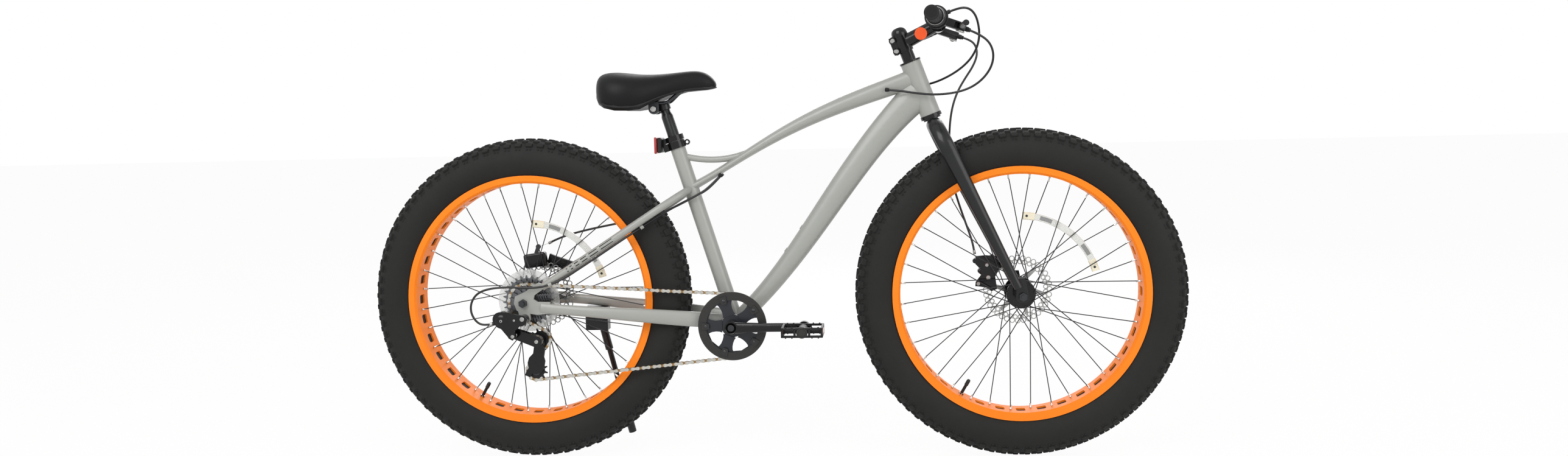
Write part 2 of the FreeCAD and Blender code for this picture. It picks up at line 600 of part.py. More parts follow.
def lever_box(name, back, ahead, right, left, low, high):
    """A box in the lever's own plane, measured from its pivot."""
    base = pivot + lever_ahead * back + LEFT * right + lever_axis * low
    box = Part.makeBox(ahead - back, left - right, high - low)
    box.Placement = FreeCAD.Placement(base, FreeCAD.Rotation(lever_ahead, LEFT, lever_axis, "ZXY"))
    return solid(name, box)


ear = fork_gap + 3
perch_arm = lever_box("perch_arm", -d.lever_reach, 8, -9, 16, -ear, ear)
perch_slot = lever_box("perch_slot", -16, 12, -30, 10, -fork_gap, fork_gap)
barrel_axis = unit(lever_ahead * 0.9 + LEFT * 0.45)
barrel_start = pivot + LEFT * 12 + lever_ahead * 2
barrel = cylinder("barrel", "d.barrel_radius", "d.barrel_reach", barrel_start, barrel_axis)
perch_pin = cylinder("perch_pin", "d.pivot_radius", "2 * (d.lever_thickness / 2 + d.clear_gap + 3)",
                     pivot - lever_axis * ear, lever_axis)
perch_body = cut("perch_body", fuse("perch_joined", perch_ring, perch_arm), perch_slot, bar_core)
right_perch = fuse("right_perch", perch_body, barrel, perch_pin)
shifter_housing = sleeve("shifter_housing", d.shifter_radius, d.shifter_length, shifter_start, bar_core)
shift_aim = heading(20)
shift_station = shifter_start + d.shifter_length - 9
shift_exit = bar_end + bar_axis * shift_station + heading(30) * (d.shifter_radius - 6)
shift_nozzle = cylinder("shift_nozzle", "d.barrel_radius", "d.barrel_reach - 6", shift_exit, shift_aim)
shifter = cut("shifter", fuse("shifter_joined", shifter_housing, shift_nozzle), bar_core)
node("bar_controls", group("bar_controls", right_perch, mirror("left_perch", right_perch), shifter))

lever_eye = solid("lever_eye", Part.makeCylinder(9, d.lever_thickness,
    pivot - lever_axis * (d.lever_thickness / 2),
                                                 lever_axis))
blade_points = [pivot, pivot + lever_ahead * 3 - LEFT * 30, pivot - lever_ahead * 6 - LEFT * 75,
                pivot - LEFT * d.lever_length + lever_ahead * 2]
lever_blade = solid("lever_blade", tapered_tube(blade_points, [
    (0.0, 14, d.lever_thickness), (0.3, 12, d.lever_thickness), (0.7, 10, d.lever_thickness), (1.0, 13, 12)],
    lever_axis, True))
lever_hole = cylinder("lever_hole", "d.pivot_radius + d.running_gap", "2 * d.lever_thickness",
                      pivot - lever_axis * d.lever_thickness, lever_axis)
right_lever = cut("right_lever", fuse("lever_joined", lever_eye, lever_blade), lever_hole)
node("right_brake_lever", right_lever)
node("left_brake_lever", mirror("left_lever", right_lever))


# Wheels: tyre, rim, tube, spokes and hub, built round an axle along Y and set at each axle.
half_rim = d.rim_width / 2
bed = d.rim_radius - d.rim_side
seat_radius = bed + d.rim_wall + 1
inner_half = half_rim - d.rim_wall
half_tire = d.tire_width / 2
crown_radius = d.wheel_radius - d.lug_height


def rounded_rectangle(half_x, half_y, corner):
    """The edges of a rectangle with rounded corners, round its middle."""
    edges = []
    inset = corner * (1 - math.sqrt(0.5))
    for sign_x, sign_y in ((1, 1), (-1, 1), (-1, -1), (1, -1)):
        beside = (sign_x * half_x, sign_y * (half_y - corner))
        below = (sign_x * (half_x - corner), sign_y * half_y)
        middle = (sign_x * (half_x - inset), sign_y * (half_y - inset))
        edges.append(arc(beside, middle, below))
    for sign in (1, -1):
        edges.append(Part.LineSegment(Vector(sign * half_x, corner - half_y, 0),
            Vector(sign * half_x, half_y - corner, 0)))
        edges.append(Part.LineSegment(Vector(corner - half_x, sign * half_y, 0),
            Vector(half_x - corner, sign * half_y, 0)))
    return edges


def rim_body(name):
    """A wide U-section rim with a ring of cut-outs in its bed, and room for the valve in the place of one."""
    owner = body(name)
    profile = sketch(owner, "YZ_Plane", f"{name}_profile", polygon([
        (-half_rim, d.rim_radius), (-half_rim, bed + 5), (5 - half_rim, bed), (half_rim - 5, bed),
        (half_rim, bed + 5), (half_rim, d.rim_radius), (inner_half, d.rim_radius), (inner_half, seat_radius),
        (-inner_half, seat_radius), (-inner_half, d.rim_radius)]))
    revolution(owner, f"{name}_ring", profile)
    step = 360 / d.spoke_count
    first = FreeCAD.Placement(ORIGIN, FreeCAD.Rotation(LEFT, (d.valve_place + 1) * step))
    slot = sketch(owner, "XY_Plane", f"{name}_slot", rounded_rectangle(
        d.cutout_width / 2, d.cutout_length / 2, d.cutout_corner), first)
    window = owner.newObject("PartDesign::Pocket", f"{name}_window")
    window.Profile = slot
    window.setExpression("Length", "d.rim_radius")
    window.Reversed = True
    windows = polar(owner, f"{name}_windows", [window], "Y_Axis", "d.spoke_count - 1")
    windows.setExpression("Angle", "360 * (d.spoke_count - 2) / d.spoke_count")
    return owner


def tire_body(name):
    """A high-volume tyre: an open casing with staggered centre lugs and leaning shoulder lugs."""
    owner = body(name)
    rise = (crown_radius - d.rim_radius)
    bulge = d.rim_radius + 0.45 * rise
    shoulder = (half_tire - 15, crown_radius - 9.5)
    wall, tread = d.tire_wall, d.tread_wall
    bead = inner_half - 0.2
    inner_shoulder = (shoulder[0] - 3, shoulder[1] - tread)
    edges = []
    for sign in (1, -1):
        edges += [
            Part.LineSegment(Vector(sign * (bead - wall), seat_radius + 0.3, 0),
                Vector(sign * bead, seat_radius + 0.3, 0)),
            Part.LineSegment(Vector(sign * bead, seat_radius + 0.3, 0),
                Vector(sign * bead, d.rim_radius + 1, 0)),
            arc((sign * bead, d.rim_radius + 1), (sign * half_tire, bulge),
                (sign * shoulder[0], shoulder[1])),
            arc((sign * inner_shoulder[0], inner_shoulder[1]), (sign * (half_tire - wall), bulge),
                (sign * (bead - wall), d.rim_radius + 1)),
            Part.LineSegment(Vector(sign * (bead - wall), d.rim_radius + 1, 0),
                             Vector(sign * (bead - wall), seat_radius + 0.3, 0))]
    edges.append(arc(shoulder, (0, crown_radius), (-shoulder[0], shoulder[1])))
    edges.append(arc(inner_shoulder, (0, crown_radius - tread), (-inner_shoulder[0], inner_shoulder[1])))
    revolution(owner, f"{name}_casing", sketch(owner, "YZ_Plane", f"{name}_profile", edges))
    half_length = d.lug_length / 2
    half_step = 180 / d.lug_count
    root = crown_radius - 5
    lug_reach = "sqrt(d.wheel_radius^2 - d.lug_length^2 / 4) - (d.wheel_radius - d.lug_height - 5)"
    lugs = []
    for sign, turn in ((1, 0), (-1, half_step)):
        swing = FreeCAD.Placement(ORIGIN, FreeCAD.Rotation(LEFT, turn))
        inner, outer = sign * 2, sign * (2 + d.lug_width)
        outline = polygon([(-half_length, inner), (half_length, inner), (half_length, outer),
            (-half_length, outer)])
        spot = swing.multiply(FreeCAD.Placement(UP * root, FreeCAD.Rotation()))
        drawn = sketch(owner, "XY_Plane", f"{name}_middle_{sign + 1}", outline, spot)
        lugs.append(pad(owner, f"{name}_middle_lug_{sign + 1}", drawn, lug_reach))
        swing = FreeCAD.Placement(ORIGIN, FreeCAD.Rotation(LEFT, half_step - turn))
        lean = FreeCAD.Placement(Vector(0, sign * shoulder[0], shoulder[1] - 4),
                                 FreeCAD.Rotation(AHEAD, -sign * d.shoulder_lean))
        outline = polygon([(-half_length, -8), (half_length, -8), (half_length, 8), (-half_length, 8)])
        drawn = sketch(owner, "XY_Plane", f"{name}_shoulder_{sign + 1}", outline, swing.multiply(lean))
        lugs.append(pad(owner, f"{name}_shoulder_lug_{sign + 1}", drawn, "d.lug_height + 3"))
    polar(owner, f"{name}_tread", lugs, "Y_Axis", "d.lug_count")
    return owner


def tube_solids():
    """Inner tube with its valve stem, and the strip that covers the rim's bed, round an axle along Y."""
    bead = inner_half - 0.2 - d.tire_wall - d.clear_gap
    rise = crown_radius - d.rim_radius
    bulge = d.rim_radius + 0.45 * rise
    low, high = seat_radius + 1.8, crown_radius - d.tread_wall - 1
    strip = Part.makeCylinder(seat_radius + 1.2, 2 * bead, LEFT * -bead, LEFT)
    strip = strip.cut(Part.makeCylinder(seat_radius, 2 * bead, LEFT * -bead, LEFT))
    half = half_tire - d.tire_wall - 2
    outline = [(bead - 3, low), (bead - 3, d.rim_radius + 1), (half, bulge - 8), (half, bulge + 8),
        (half_tire - 24, high - 8), (16, high - 2)]
    outline += [(-side, radius) for side, radius in reversed(outline)]
    ring = Part.makePolygon([Vector(0, side, radius) for side, radius in outline + outline[:1]])
    tube = Part.Face(ring).revolve(ORIGIN, LEFT, 360)
    stem = Part.makeCylinder(d.valve_radius, d.valve_length + low - bed, UP * (bed - d.valve_length), UP)
    nut_foot = bed - d.clear_gap - d.valve_nut_height
    stem = stem.fuse(Part.makeCylinder(d.valve_nut_radius, d.valve_nut_height, UP * nut_foot, UP))
    stem.rotate(ORIGIN, LEFT, 360 * d.valve_place / d.spoke_count)
    return tube.fuse(stem), strip.cut(stem), stem


tube_shape, strip_shape, valve_shape = tube_solids()


def hub_body(name, half_width, right, left, rotor):
    """A hub shell with two flanges and a boss for the rotor."""
    owner = body(name)
    half = d.flange_thickness / 2
    end = half_width - d.cone_length - d.clear_gap
    bore = d.axle_radius + d.running_gap
    face = rotor - d.rotor_thickness / 2
    profile = sketch(owner, "YZ_Plane", f"{name}_profile", polygon([
        (-end, bore), (-end, d.hub_end_radius), (-right - half, d.hub_end_radius),
        (-right - half, d.flange_radius),
        (-right + half, d.flange_radius), (-right + half, d.hub_radius), (left - half, d.hub_radius),
        (left - half, d.flange_radius), (left + half, d.flange_radius), (left + half, d.hub_radius + 3),
        (face, d.hub_radius + 3), (face, d.hub_end_radius), (end, d.hub_end_radius), (end, bore)]))
    revolution(owner, f"{name}_shell", profile)
    return owner


def spoke_shape(right, left):
    """All the spokes of a wheel, laced tangentially from both flanges."""
    shapes = []
    per_side = int(d.spoke_count / 2)
    hole_radius = d.flange_radius - 4
    half = d.flange_thickness / 2
    for count in range(2 * per_side):
        sign = 1 if count % 2 else -1
        flange = left if sign > 0 else right
        trailing = (count // 2) % 2
        beside = half + d.spoke_radius + (2.2 if trailing else -2 * (half + d.spoke_radius) - 0.1)
        at_rim = math.radians(360.0 * (count + 0.5) / d.spoke_count)
        at_hub = at_rim + math.radians(60 if trailing else -60)
        start = Vector(hole_radius * math.sin(at_hub), sign * (flange + beside),
            hole_radius * math.cos(at_hub))
        rim_hole = bed - 0.4
        end = Vector(rim_hole * math.sin(at_rim), sign * d.spoke_spread, rim_hole * math.cos(at_rim))
        run = end - start
        shapes.append(Part.makeCylinder(d.spoke_radius, run.Length, start, run))
    return Part.makeCompound(shapes)


def rotor_body(name):
    """A brake rotor: a vented track carried by arms from a ring on the hub."""
    owner = body(name)
    hub_fit = d.hub_end_radius + d.running_gap
    disc = sketch(owner, "XZ_Plane", f"{name}_disc", [circle(d.rotor_radius), circle(hub_fit)])
    pad(owner, f"{name}_plate", disc, "d.rotor_thickness", True)
    inner, outer = hub_fit + 14, d.rotor_radius - d.rotor_track
    step = math.pi / d.rotor_arms
    window_points = [(inner, -0.6 * step), (outer, -0.95 * step), (outer, 0.0), (outer, 0.6 * step),
        (inner, 0.35 * step)]
    window = pocket_through(owner, f"{name}_window",
        sketch(owner, "XZ_Plane", f"{name}_window_outline", polygon(
        [(r * math.cos(a), r * math.sin(a)) for r, a in window_points])))
    polar(owner, f"{name}_windows", [window], "Y_Axis", "d.rotor_arms")
    DOC.recompute()
    vent = pocket_through(owner, f"{name}_vent", sketch(owner, "XZ_Plane", f"{name}_vent_outline", [
        circle(2.6, d.rotor_radius - d.rotor_track / 2)]))
    polar(owner, f"{name}_vents", [vent], "Y_Axis", "d.rotor_vents")
    return owner


def axle_shape(half_width):
    """An axle with its bearing cones, and a nut outside each dropout."""
    reach = half_width + d.dropout_thickness
    length = 2 * (reach + d.nut_height + 3)
    axle = Part.makeCylinder(d.axle_radius, length, LEFT * (-length / 2), LEFT)
    for sign in (1, -1):
        axle = axle.fuse(Part.makeCylinder(d.cone_radius, d.cone_length, LEFT * (sign * half_width),
            LEFT * -sign))
    nuts = []
    for sign in (1, -1):
        corners = [Vector(d.nut_width / math.sqrt(3) * math.sin(k * math.pi / 3), sign * reach,
                          d.nut_width / math.sqrt(3) * math.cos(k * math.pi / 3)) for k in range(7)]
        nut = Part.Face(Part.makePolygon(corners)).extrude(LEFT * (sign * d.nut_height))
        nuts.append(nut.cut(axle))
    return Part.makeCompound([axle] + nuts)


def seated(shape, carrier, direction):
    """The shape moved along a direction until it all but touches what carries it."""
    for step in range(6):
        shape = shape.translated(direction * (shape.distToShape(carrier)[0] - 0.1))
    return shape


def spoke_reflector_shape(spokes):
    """A long curved reflector, seated on the inner side of the right spokes."""
    inner = d.reflector_radius - d.reflector_width / 2
    outer = d.reflector_radius + d.reflector_width / 2
    half = d.reflector_thickness / 2
    strip = Part.makeCylinder(outer, d.reflector_thickness, LEFT * -half, LEFT, d.reflector_span)
    strip = strip.cut(Part.makeCylinder(inner, d.reflector_thickness, LEFT * -half, LEFT))
    strip.rotate(ORIGIN, LEFT, 90 - d.reflector_start - d.reflector_span)
    return seated(strip, spokes, LEFT * -1)


front_rim, front_tire = rim_body("rim_body"), tire_body("tire_body")
place(front_rim, front_axle)
place(front_tire, front_axle)
DOC.recompute()
wheel_shift = rear_axle - front_axle
node("front_rim", cut("front_rim_drilled", front_rim,
    solid("front_valve_hole", valve_shape.translated(front_axle))))
node("front_tire", front_tire)
rear_rim_shape = front_rim.Shape.cut(valve_shape.translated(front_axle)).translated(wheel_shift)
node("rear_rim", solid("rear_rim", rear_rim_shape))
node("rear_tire", solid("rear_tire", front_tire.Shape.translated(wheel_shift)))
front_hub = place(hub_body("front_hub_body", front_face, d.front_flange, d.front_flange,
    d.front_rotor_offset), front_axle)
rear_hub = place(hub_body("rear_hub_body", rear_face, d.rear_flange_right, d.rear_flange_left,
    d.rear_rotor_offset), rear_axle)
node("front_hub", front_hub)
node("rear_hub", rear_hub)
front_rotor, rear_rotor = rotor_body("front_rotor_body"), rotor_body("rear_rotor_body")
node("front_rotor", place(front_rotor, front_axle + LEFT * d.front_rotor_offset))
node("rear_rotor", place(rear_rotor, rear_axle + LEFT * d.rear_rotor_offset))
front_lacing = spoke_shape(d.front_flange, d.front_flange)
rear_lacing = spoke_shape(d.rear_flange_right, d.rear_flange_left)
for label, centre, half_width, lacing in (("front", front_axle, front_face, front_lacing),
                                          ("rear", rear_axle, rear_face, rear_lacing)):
    node(f"{label}_spokes", solid(f"{label}_spokes", lacing.translated(centre)))
    tube_pair = Part.makeCompound([tube_shape.copy(), strip_shape.copy()])
    node(f"{label}_inner_tube", solid(f"{label}_inner_tube", tube_pair.translated(centre)))
    node(f"{label}_axle", solid(f"{label}_axle", axle_shape(half_width).translated(centre)))
    reflector = spoke_reflector_shape(lacing)
    node(f"{label}_spoke_reflector", solid(f"{label}_spoke_reflector", reflector.translated(centre)))

# Stem bolts: heads on the steerer clamp's ears and on the faceplate.
stem_face = stem_ahead.cross(LEFT)
bolt_heads = []
for rise in (-0.3, 0.3):
    seat = on_steerer(d.stem_station + rise * d.stem_clamp_height, 5 - ear_length, -(d.stem_width - 10) / 2)
    bolt_heads.append(cylinder(f"clamp_bolt_{len(bolt_heads)}", "d.bolt_head_radius", "d.bolt_head_height",
        seat,
                               LEFT * -1))
for side in (-0.32, 0.32):
    for lift in (-0.5, 0.5):
        reach = math.sqrt(1 - lift**2) * (d.bar_clamp_radius + d.stem_bar_wall)
        seat = (bar_centre + stem_ahead * reach + stem_face * (lift * (d.bar_clamp_radius + d.stem_bar_wall))
                + LEFT * (side * bar_boss_length))
        bolt_heads.append(cylinder(f"face_bolt_{len(bolt_heads)}", "d.bolt_head_radius",
            "d.bolt_head_height",
                                   seat - stem_ahead * 2, stem_ahead))
node("stem_bolts", cut("stem_bolts", group("bolt_heads", *bolt_heads), faceplate, stem_blank))


# Brake calipers: a slotted body over the rotor, a bracket to its carrier, a pin, and an arm for the cable.
def caliper_parts(name, axle, angle, offset, bracket_outline, carriers, pivot_shift, arm_shift):
    """A caliper body with its bracket and pivot pin, and its separate arm."""
    out = heading(angle)
    along = LEFT.cross(out)
    inner = d.rotor_radius - d.rotor_track + 2
    corner = axle + out * inner - along * (d.caliper_length / 2) + LEFT * (offset - d.caliper_half_width)
    turn = FreeCAD.Rotation(along, LEFT, out, "ZXY")
    block = Part.makeBox(d.caliper_length, 2 * d.caliper_half_width, d.caliper_height)
    block = block.makeFillet(5, block.Edges)
    block.Placement = FreeCAD.Placement(corner, turn)
    gap = d.rotor_thickness / 2 + d.rotor_gap
    slot = Part.makeBox(2 * d.caliper_length, 2 * gap, d.rotor_track + 8)
    slot.Placement = FreeCAD.Placement(corner - along * (d.caliper_length / 2) - out
                                       + LEFT * (d.caliper_half_width - gap), turn)
    outer = offset + d.caliper_half_width
    corners = [axle + Vector(x, outer, z) for x, z in bracket_outline]
    plate = Part.Face(Part.makePolygon(corners + corners[:1])).extrude(LEFT * 9)
    pivot_point = axle + Vector(pivot_shift[0], outer - 6, pivot_shift[1])
    pin = Part.makeCylinder(d.pivot_radius, 13, pivot_point, LEFT)
    made = cut(name, solid(f"{name}_blank", block.cut(slot).fuse([plate, pin])), *carriers)
    low = axle + Vector(pivot_shift[0], outer + d.clear_gap, pivot_shift[1])
    tip = axle + Vector(arm_shift[0], outer + d.clear_gap, arm_shift[1])
    reach = unit(tip - low)
    bar = Part.makeBox((tip - low).Length, 9, 5)
    across = LEFT.cross(reach)
    bar.Placement = FreeCAD.Placement(low - across * 4.5, FreeCAD.Rotation(reach, across, LEFT, "ZXY"))
    arm = Part.makeCylinder(8, 5, low, LEFT).fuse([bar, Part.makeCylinder(6, 5, tip, LEFT)])
    arm = arm.cut(Part.makeCylinder(d.pivot_radius + d.running_gap, 5, low, LEFT))
    return made, solid(f"{name}_arm", arm)


front_caliper, front_arm = caliper_parts(
    "front_caliper", front_axle, d.caliper_angle_front, d.front_rotor_offset,
    [(-58, 44), (-36, 44), (-36, 74), (-58, 74)], [DOC.getObject("fork")], (-76, 44), (-96, 66))
node("front_caliper", front_caliper)
node("front_caliper_arm", front_arm)
rear_caliper, rear_arm = caliper_parts(
    "rear_caliper", rear_axle, d.caliper_angle_rear, d.rear_rotor_offset,
    [(-6, 62), (-6, 73), (13, 75), (20, 96), (34, 90), (74, 76), (74, 52), (58, 52), (44, 62)],
    [DOC.getObject("left_seat_stay"), left_chain_stay], (-19, 84), (-8, 113))
node("rear_caliper", rear_caliper)
node("rear_caliper_arm", rear_arm)

# Seat collar, reflector band with its arm, and the rear reflector.
seat_top = d.seat_tube_length


def seat_ring(name, bottom, height, wall):
    """A ring clamped round the seat tube."""
    outer = Part.makeCylinder(d.seat_tube_radius + wall, height, on_seat_tube(bottom), seat_up)
    ear_block = Part.makeBox(14, 12, height)
    ear_block.Placement = FreeCAD.Placement(
        on_seat_tube(bottom, -d.seat_tube_radius - 14, -6),
        FreeCAD.Rotation(LEFT.cross(seat_up), LEFT, seat_up, "ZXY"))
    return cut(name, solid(f"{name}_blank", outer.fuse(ear_block)), seat_blank)


collar = seat_ring("collar", seat_top - d.collar_height, d.collar_height, d.collar_wall)
band = seat_ring("band", seat_top - d.collar_height - d.band_height - 1, d.band_height, d.collar_wall - 1)
band_middle = on_seat_tube(seat_top - d.collar_height - d.band_height / 2 - 1)
arm_length = 13
reflector_front = band_middle + AHEAD * -(d.seat_tube_radius + 12 + arm_length)
arm_bar = solid("reflector_arm", Part.makeBox(arm_length + 4, 10, 7, reflector_front + Vector(0, -5, -3.5)))
node("seat_collar", group("seat_collar", collar, fuse("band_arm", band, arm_bar)))
reflector_plate = Part.makeBox(6, 2 * d.reflector_half_width, d.reflector_height,
                               reflector_front + Vector(-6, -d.reflector_half_width,
                                   -d.reflector_height / 2))
node("rear_reflector", solid("rear_reflector", reflector_plate.makeFillet(2.4, reflector_plate.Edges)))

# Seat post with its clamp knuckle; saddle rails with their jaws; saddle.
post_top = d.seat_tube_length + d.seat_post_out
post = Part.makeCylinder(d.seat_post_radius, d.seat_post_length - d.post_neck_length - 8,
                         on_seat_tube(post_bottom), seat_up)
shoulder_cone = Part.makeCone(d.seat_post_radius, d.post_neck_radius, 8,
    on_seat_tube(post_top - d.post_neck_length - 8),
                              seat_up)
neck = Part.makeCylinder(d.post_neck_radius, d.post_neck_length,
    on_seat_tube(post_top - d.post_neck_length), seat_up)
knuckle = on_seat_tube(post_top - d.knuckle_drop, -d.knuckle_back)
knuckle_band = Part.makeCylinder(d.post_neck_radius + 3.5, 18, on_seat_tube(post_top - d.knuckle_drop - 9),
    seat_up)
knuckle_core = Part.makeCylinder(d.knuckle_radius - 2, 26, knuckle - LEFT * 13, LEFT)
knuckle_bolt = Part.makeCylinder(4, 66, knuckle - LEFT * 33, LEFT)
knuckle_block = knuckle_band.fuse([knuckle_core, knuckle_bolt]).cut(neck)
node("seat_post", solid("seat_post", Part.makeCompound([post.fuse([shoulder_cone, neck]), knuckle_block])))


def from_knuckle(ahead, side, above):
    """A point measured from the saddle clamp's knuckle."""
    return knuckle + Vector(ahead, side, above)


saddle_scale = d.saddle_length / 276
nose_share = d.saddle_nose_half_width / 25
wide = d.saddle_half_width


def saddle_section(ahead, half_width, top, bottom):
    """A cushioned section: flat underside, rounded flanks and a crowned top."""
    x = ahead * saddle_scale
    foot, shoulder = 0.86 * half_width, 0.78 * half_width
    lift = bottom + 0.8 * (top - bottom)
    waist = bottom + 0.42 * (top - bottom)
    points = [from_knuckle(x, -foot, bottom), from_knuckle(x, foot, bottom),
        from_knuckle(x, half_width, waist),
              from_knuckle(x, shoulder, lift), from_knuckle(x, 0, top), from_knuckle(x, -shoulder, lift),
              from_knuckle(x, -half_width, waist)]
    return Part.Wire([Part.LineSegment(points[0], points[1]).toShape(),
                      Part.Arc(points[1], points[2], points[3]).toShape(),
                      Part.Arc(points[3], points[4], points[5]).toShape(),
                      Part.Arc(points[5], points[6], points[0]).toShape()])


saddle_solid = Part.makeLoft([
    saddle_section(-132, 0.5 * wide, 66, 40), saddle_section(-120, 0.82 * wide, 82, 22),
    saddle_section(-75, wide, 86, 2), saddle_section(-25, 0.82 * wide, 80, 8),
    saddle_section(25, 0.52 * wide, 80, 29), saddle_section(75, 34 * nose_share, 84, 43),
    saddle_section(112, 25 * nose_share, 86, 44), saddle_section(134, 17 * nose_share, 76, 47),
    saddle_section(142, 9 * nose_share, 62, 50)], True)
hollow_outline = [from_knuckle(x * saddle_scale, y, -20) for x, y in (
    (-104, -0.6 * wide), (-70, -0.74 * wide), (-10, -0.5 * wide), (52, -0.24 * wide),
    (52, 0.24 * wide), (-10, 0.5 * wide), (-70, 0.74 * wide), (-104, 0.6 * wide))]
hollow = Part.Face(Part.makePolygon(hollow_outline + hollow_outline[:1])).extrude(UP * 66)
saddle = node("saddle", solid("saddle", saddle_solid.cut(hollow)))
spread, rail_height = d.rail_spread, d.knuckle_radius + d.rail_radius - 2
rail_points = [(78, 9, 50), (52, 14, 33), (30, spread, rail_height), (-34, spread, rail_height),
    (-66, 28, 31),
               (-88, 32, 50)]
right_rail = cut("right_rail", solid("rail_blank", pipe(
    [from_knuckle(x, -y, z) for x, y, z in rail_points], d.rail_radius, 24)), saddle)
jaw_inner = d.post_neck_radius + 4
jaw = Part.makeCylinder(d.knuckle_radius, 2 * (spread - jaw_inner),
    knuckle - LEFT * (2 * spread - jaw_inner), LEFT)
jaw_block = Part.makeBox(24, 2 * (spread - jaw_inner), rail_height + 3,
                         knuckle + Vector(-12, -(2 * spread - jaw_inner), 0))
jaw_hole = Part.makeCylinder(4 + d.running_gap, 80, knuckle - LEFT * 40, LEFT)
right_jaw = cut("right_jaw", solid("jaw_blank", jaw.fuse(jaw_block).cut(jaw_hole)), right_rail)
node("saddle_rails", group("saddle_rails", right_rail, mirror("left_rail", right_rail), right_jaw,
                           mirror("left_jaw", right_jaw)))

# Kickstand: a bracket under the left chain stay with a pivot pin, and the leg that folds on it.
stand_pivot = rear_axle + Vector(d.stand_ahead, d.stand_offset, -d.stand_drop)
stand_block = Part.makeBox(54, 28, 56, stand_pivot + Vector(-32, -28, -4))
stand_pin = Part.makeCylinder(5, 24, stand_pivot - LEFT * 2 + UP * 4, LEFT)
bracket_blank = solid("stand_bracket_blank", stand_block.fuse(stand_pin))
node("kickstand_bracket", cut("stand_bracket", bracket_blank, left_chain_stay))
eye_centre = stand_pivot + UP * 4 + LEFT * d.clear_gap
stand_eye = Part.makeCylinder(11, 20, eye_centre, LEFT)
leg_top = eye_centre + LEFT * 11
foot = Vector(leg_top.x + d.stand_lean * (leg_top.z - 20), leg_top.y + d.stand_splay, 20)
leg_axis = unit(foot - leg_top)
leg = Part.makeCylinder(d.stand_radius, (foot - leg_top).Length, leg_top, leg_axis)
leg_sleeve = Part.makeCylinder(d.sleeve_radius, 64, leg_top, leg_axis)
leg_foot = Part.makeCylinder(d.sleeve_radius, 26, foot - leg_axis * 24, leg_axis)
stand_hole = Part.makeCylinder(5 + d.running_gap, 40, stand_pivot + UP * 4 - LEFT * 2, LEFT)
node("kickstand", solid("kickstand", stand_eye.fuse([leg, leg_sleeve, leg_foot]).cut(stand_hole)))


# Drive: the chain's loop over four toothed wheels, with the cage set for a whole number of links.
def pitch_radius(teeth):
    """Radius of the circle that a roller chain's pins follow on a toothed wheel."""
    return d.chain_pitch / (2 * math.sin(math.pi / teeth))


guide = rear_axle + Vector(d.guide_ahead, -d.chain_line, -d.guide_below)
chain_plane = LEFT * -d.chain_line


def loop_wheels(lean):
    """Centres and signed radii in running order: cog, chainring, tension pulley and guide pulley."""
    tension = guide - heading(90 - lean) * d.cage_length
    small = pitch_radius(d.pulley_teeth)
    return [(rear_axle + chain_plane, pitch_radius(d.drive_cog_teeth)),
            (bracket + chain_plane, pitch_radius(d.chainring_teeth)), (tension, small), (guide, -small)]


def loop_runs(lean):
    """Straight runs between the wheels, each as its two ends."""
    wheels = loop_wheels(lean)
    runs = []
    for (first, r1), (second, r2) in zip(wheels, wheels[1:] + wheels[:1]):
        gap = second - first
        ahead = unit(gap)
        right = ahead.cross(LEFT) * -1
        sine = (r2 - r1) / gap.Length
        cosine = math.sqrt(1 - sine**2)
        normal = right * cosine + ahead * sine
        runs.append((first - normal * r1, second - normal * r2))
    return runs


def loop_pieces(lean):
    """The loop as runs and arcs: (length, start, end) or (length, centre, start, turn)."""
    runs, wheels = loop_runs(lean), loop_wheels(lean)
    pieces = []
    for count, (start, end) in enumerate(runs):
        pieces.append(((end - start).Length, start, end))
        centre, radius = wheels[(count + 1) % 4]
        leave = runs[(count + 1) % 4][0]
        a, b = end - centre, leave - centre
        turn = math.atan2(a.z, a.x) - math.atan2(b.z, b.x)
        turn = turn % (2 * math.pi) if radius > 0 else -((-turn) % (2 * math.pi))
        pieces.append((abs(turn * radius), centre, end, turn))
    return pieces


def loop_length(lean):
    """Length of the whole loop."""
    return sum(piece[0] for piece in loop_pieces(lean))


links = 2 * round(loop_length(d.cage_lean) / d.chain_pitch / 2)
low_lean, high_lean = d.cage_lean - 40, d.cage_lean + 40
rising = loop_length(high_lean) > loop_length(low_lean)
for step in range(60):
    cage_lean = (low_lean + high_lean) / 2
    if (loop_length(cage_lean) > links * d.chain_pitch) == rising:
        high_lean = cage_lean
    else:
        low_lean = cage_lean
tension = loop_wheels(cage_lean)[2][0]
print("chain links", links, "cage lean", round(cage_lean, 2), "tension pulley", tension)


def on_loop(run):
    """The point a distance along the loop."""
    for piece in loop_pieces(cage_lean):
        if run <= piece[0]:
            break
        run -= piece[0]
    if len(piece) == 3:
        return piece[1] + (piece[2] - piece[1]) * (run / piece[0])
    turned = FreeCAD.Rotation(LEFT, math.degrees(piece[3] * run / piece[0]))
    return piece[1] + turned.multVec(piece[2] - piece[1])


pins = [on_loop(count * links * d.chain_pitch / links) for count in range(links)]


def plate_shape(first, last, side):
    """A link plate between two pins: long hexagon with bevelled ends."""
    along = unit(last - first)
    across = along.cross(LEFT) * (d.plate_height / 2)
    end = along * (d.plate_height / 2)
    corners = [first - end + across * 0.45, first - end * 0.45 + across, last + end * 0.45 + across,
               last + end + across * 0.45, last + end - across * 0.45, last + end * 0.45 - across,
               first - end * 0.45 - across, first - end - across * 0.45]
    face = Part.Face(Part.makePolygon([corner + LEFT * side for corner in corners + corners[:1]]))
    return face.extrude(LEFT * d.plate_thickness)


def roller_shape(pin):
    """A roller between the inner plates."""
    half = d.chain_inner_half
    corners = [pin + Vector(math.cos(k * math.pi / 4), 0,
        math.sin(k * math.pi / 4)) * d.roller_radius - LEFT * half
               for k in range(9)]
    return Part.Face(Part.makePolygon(corners)).extrude(LEFT * (2 * half))


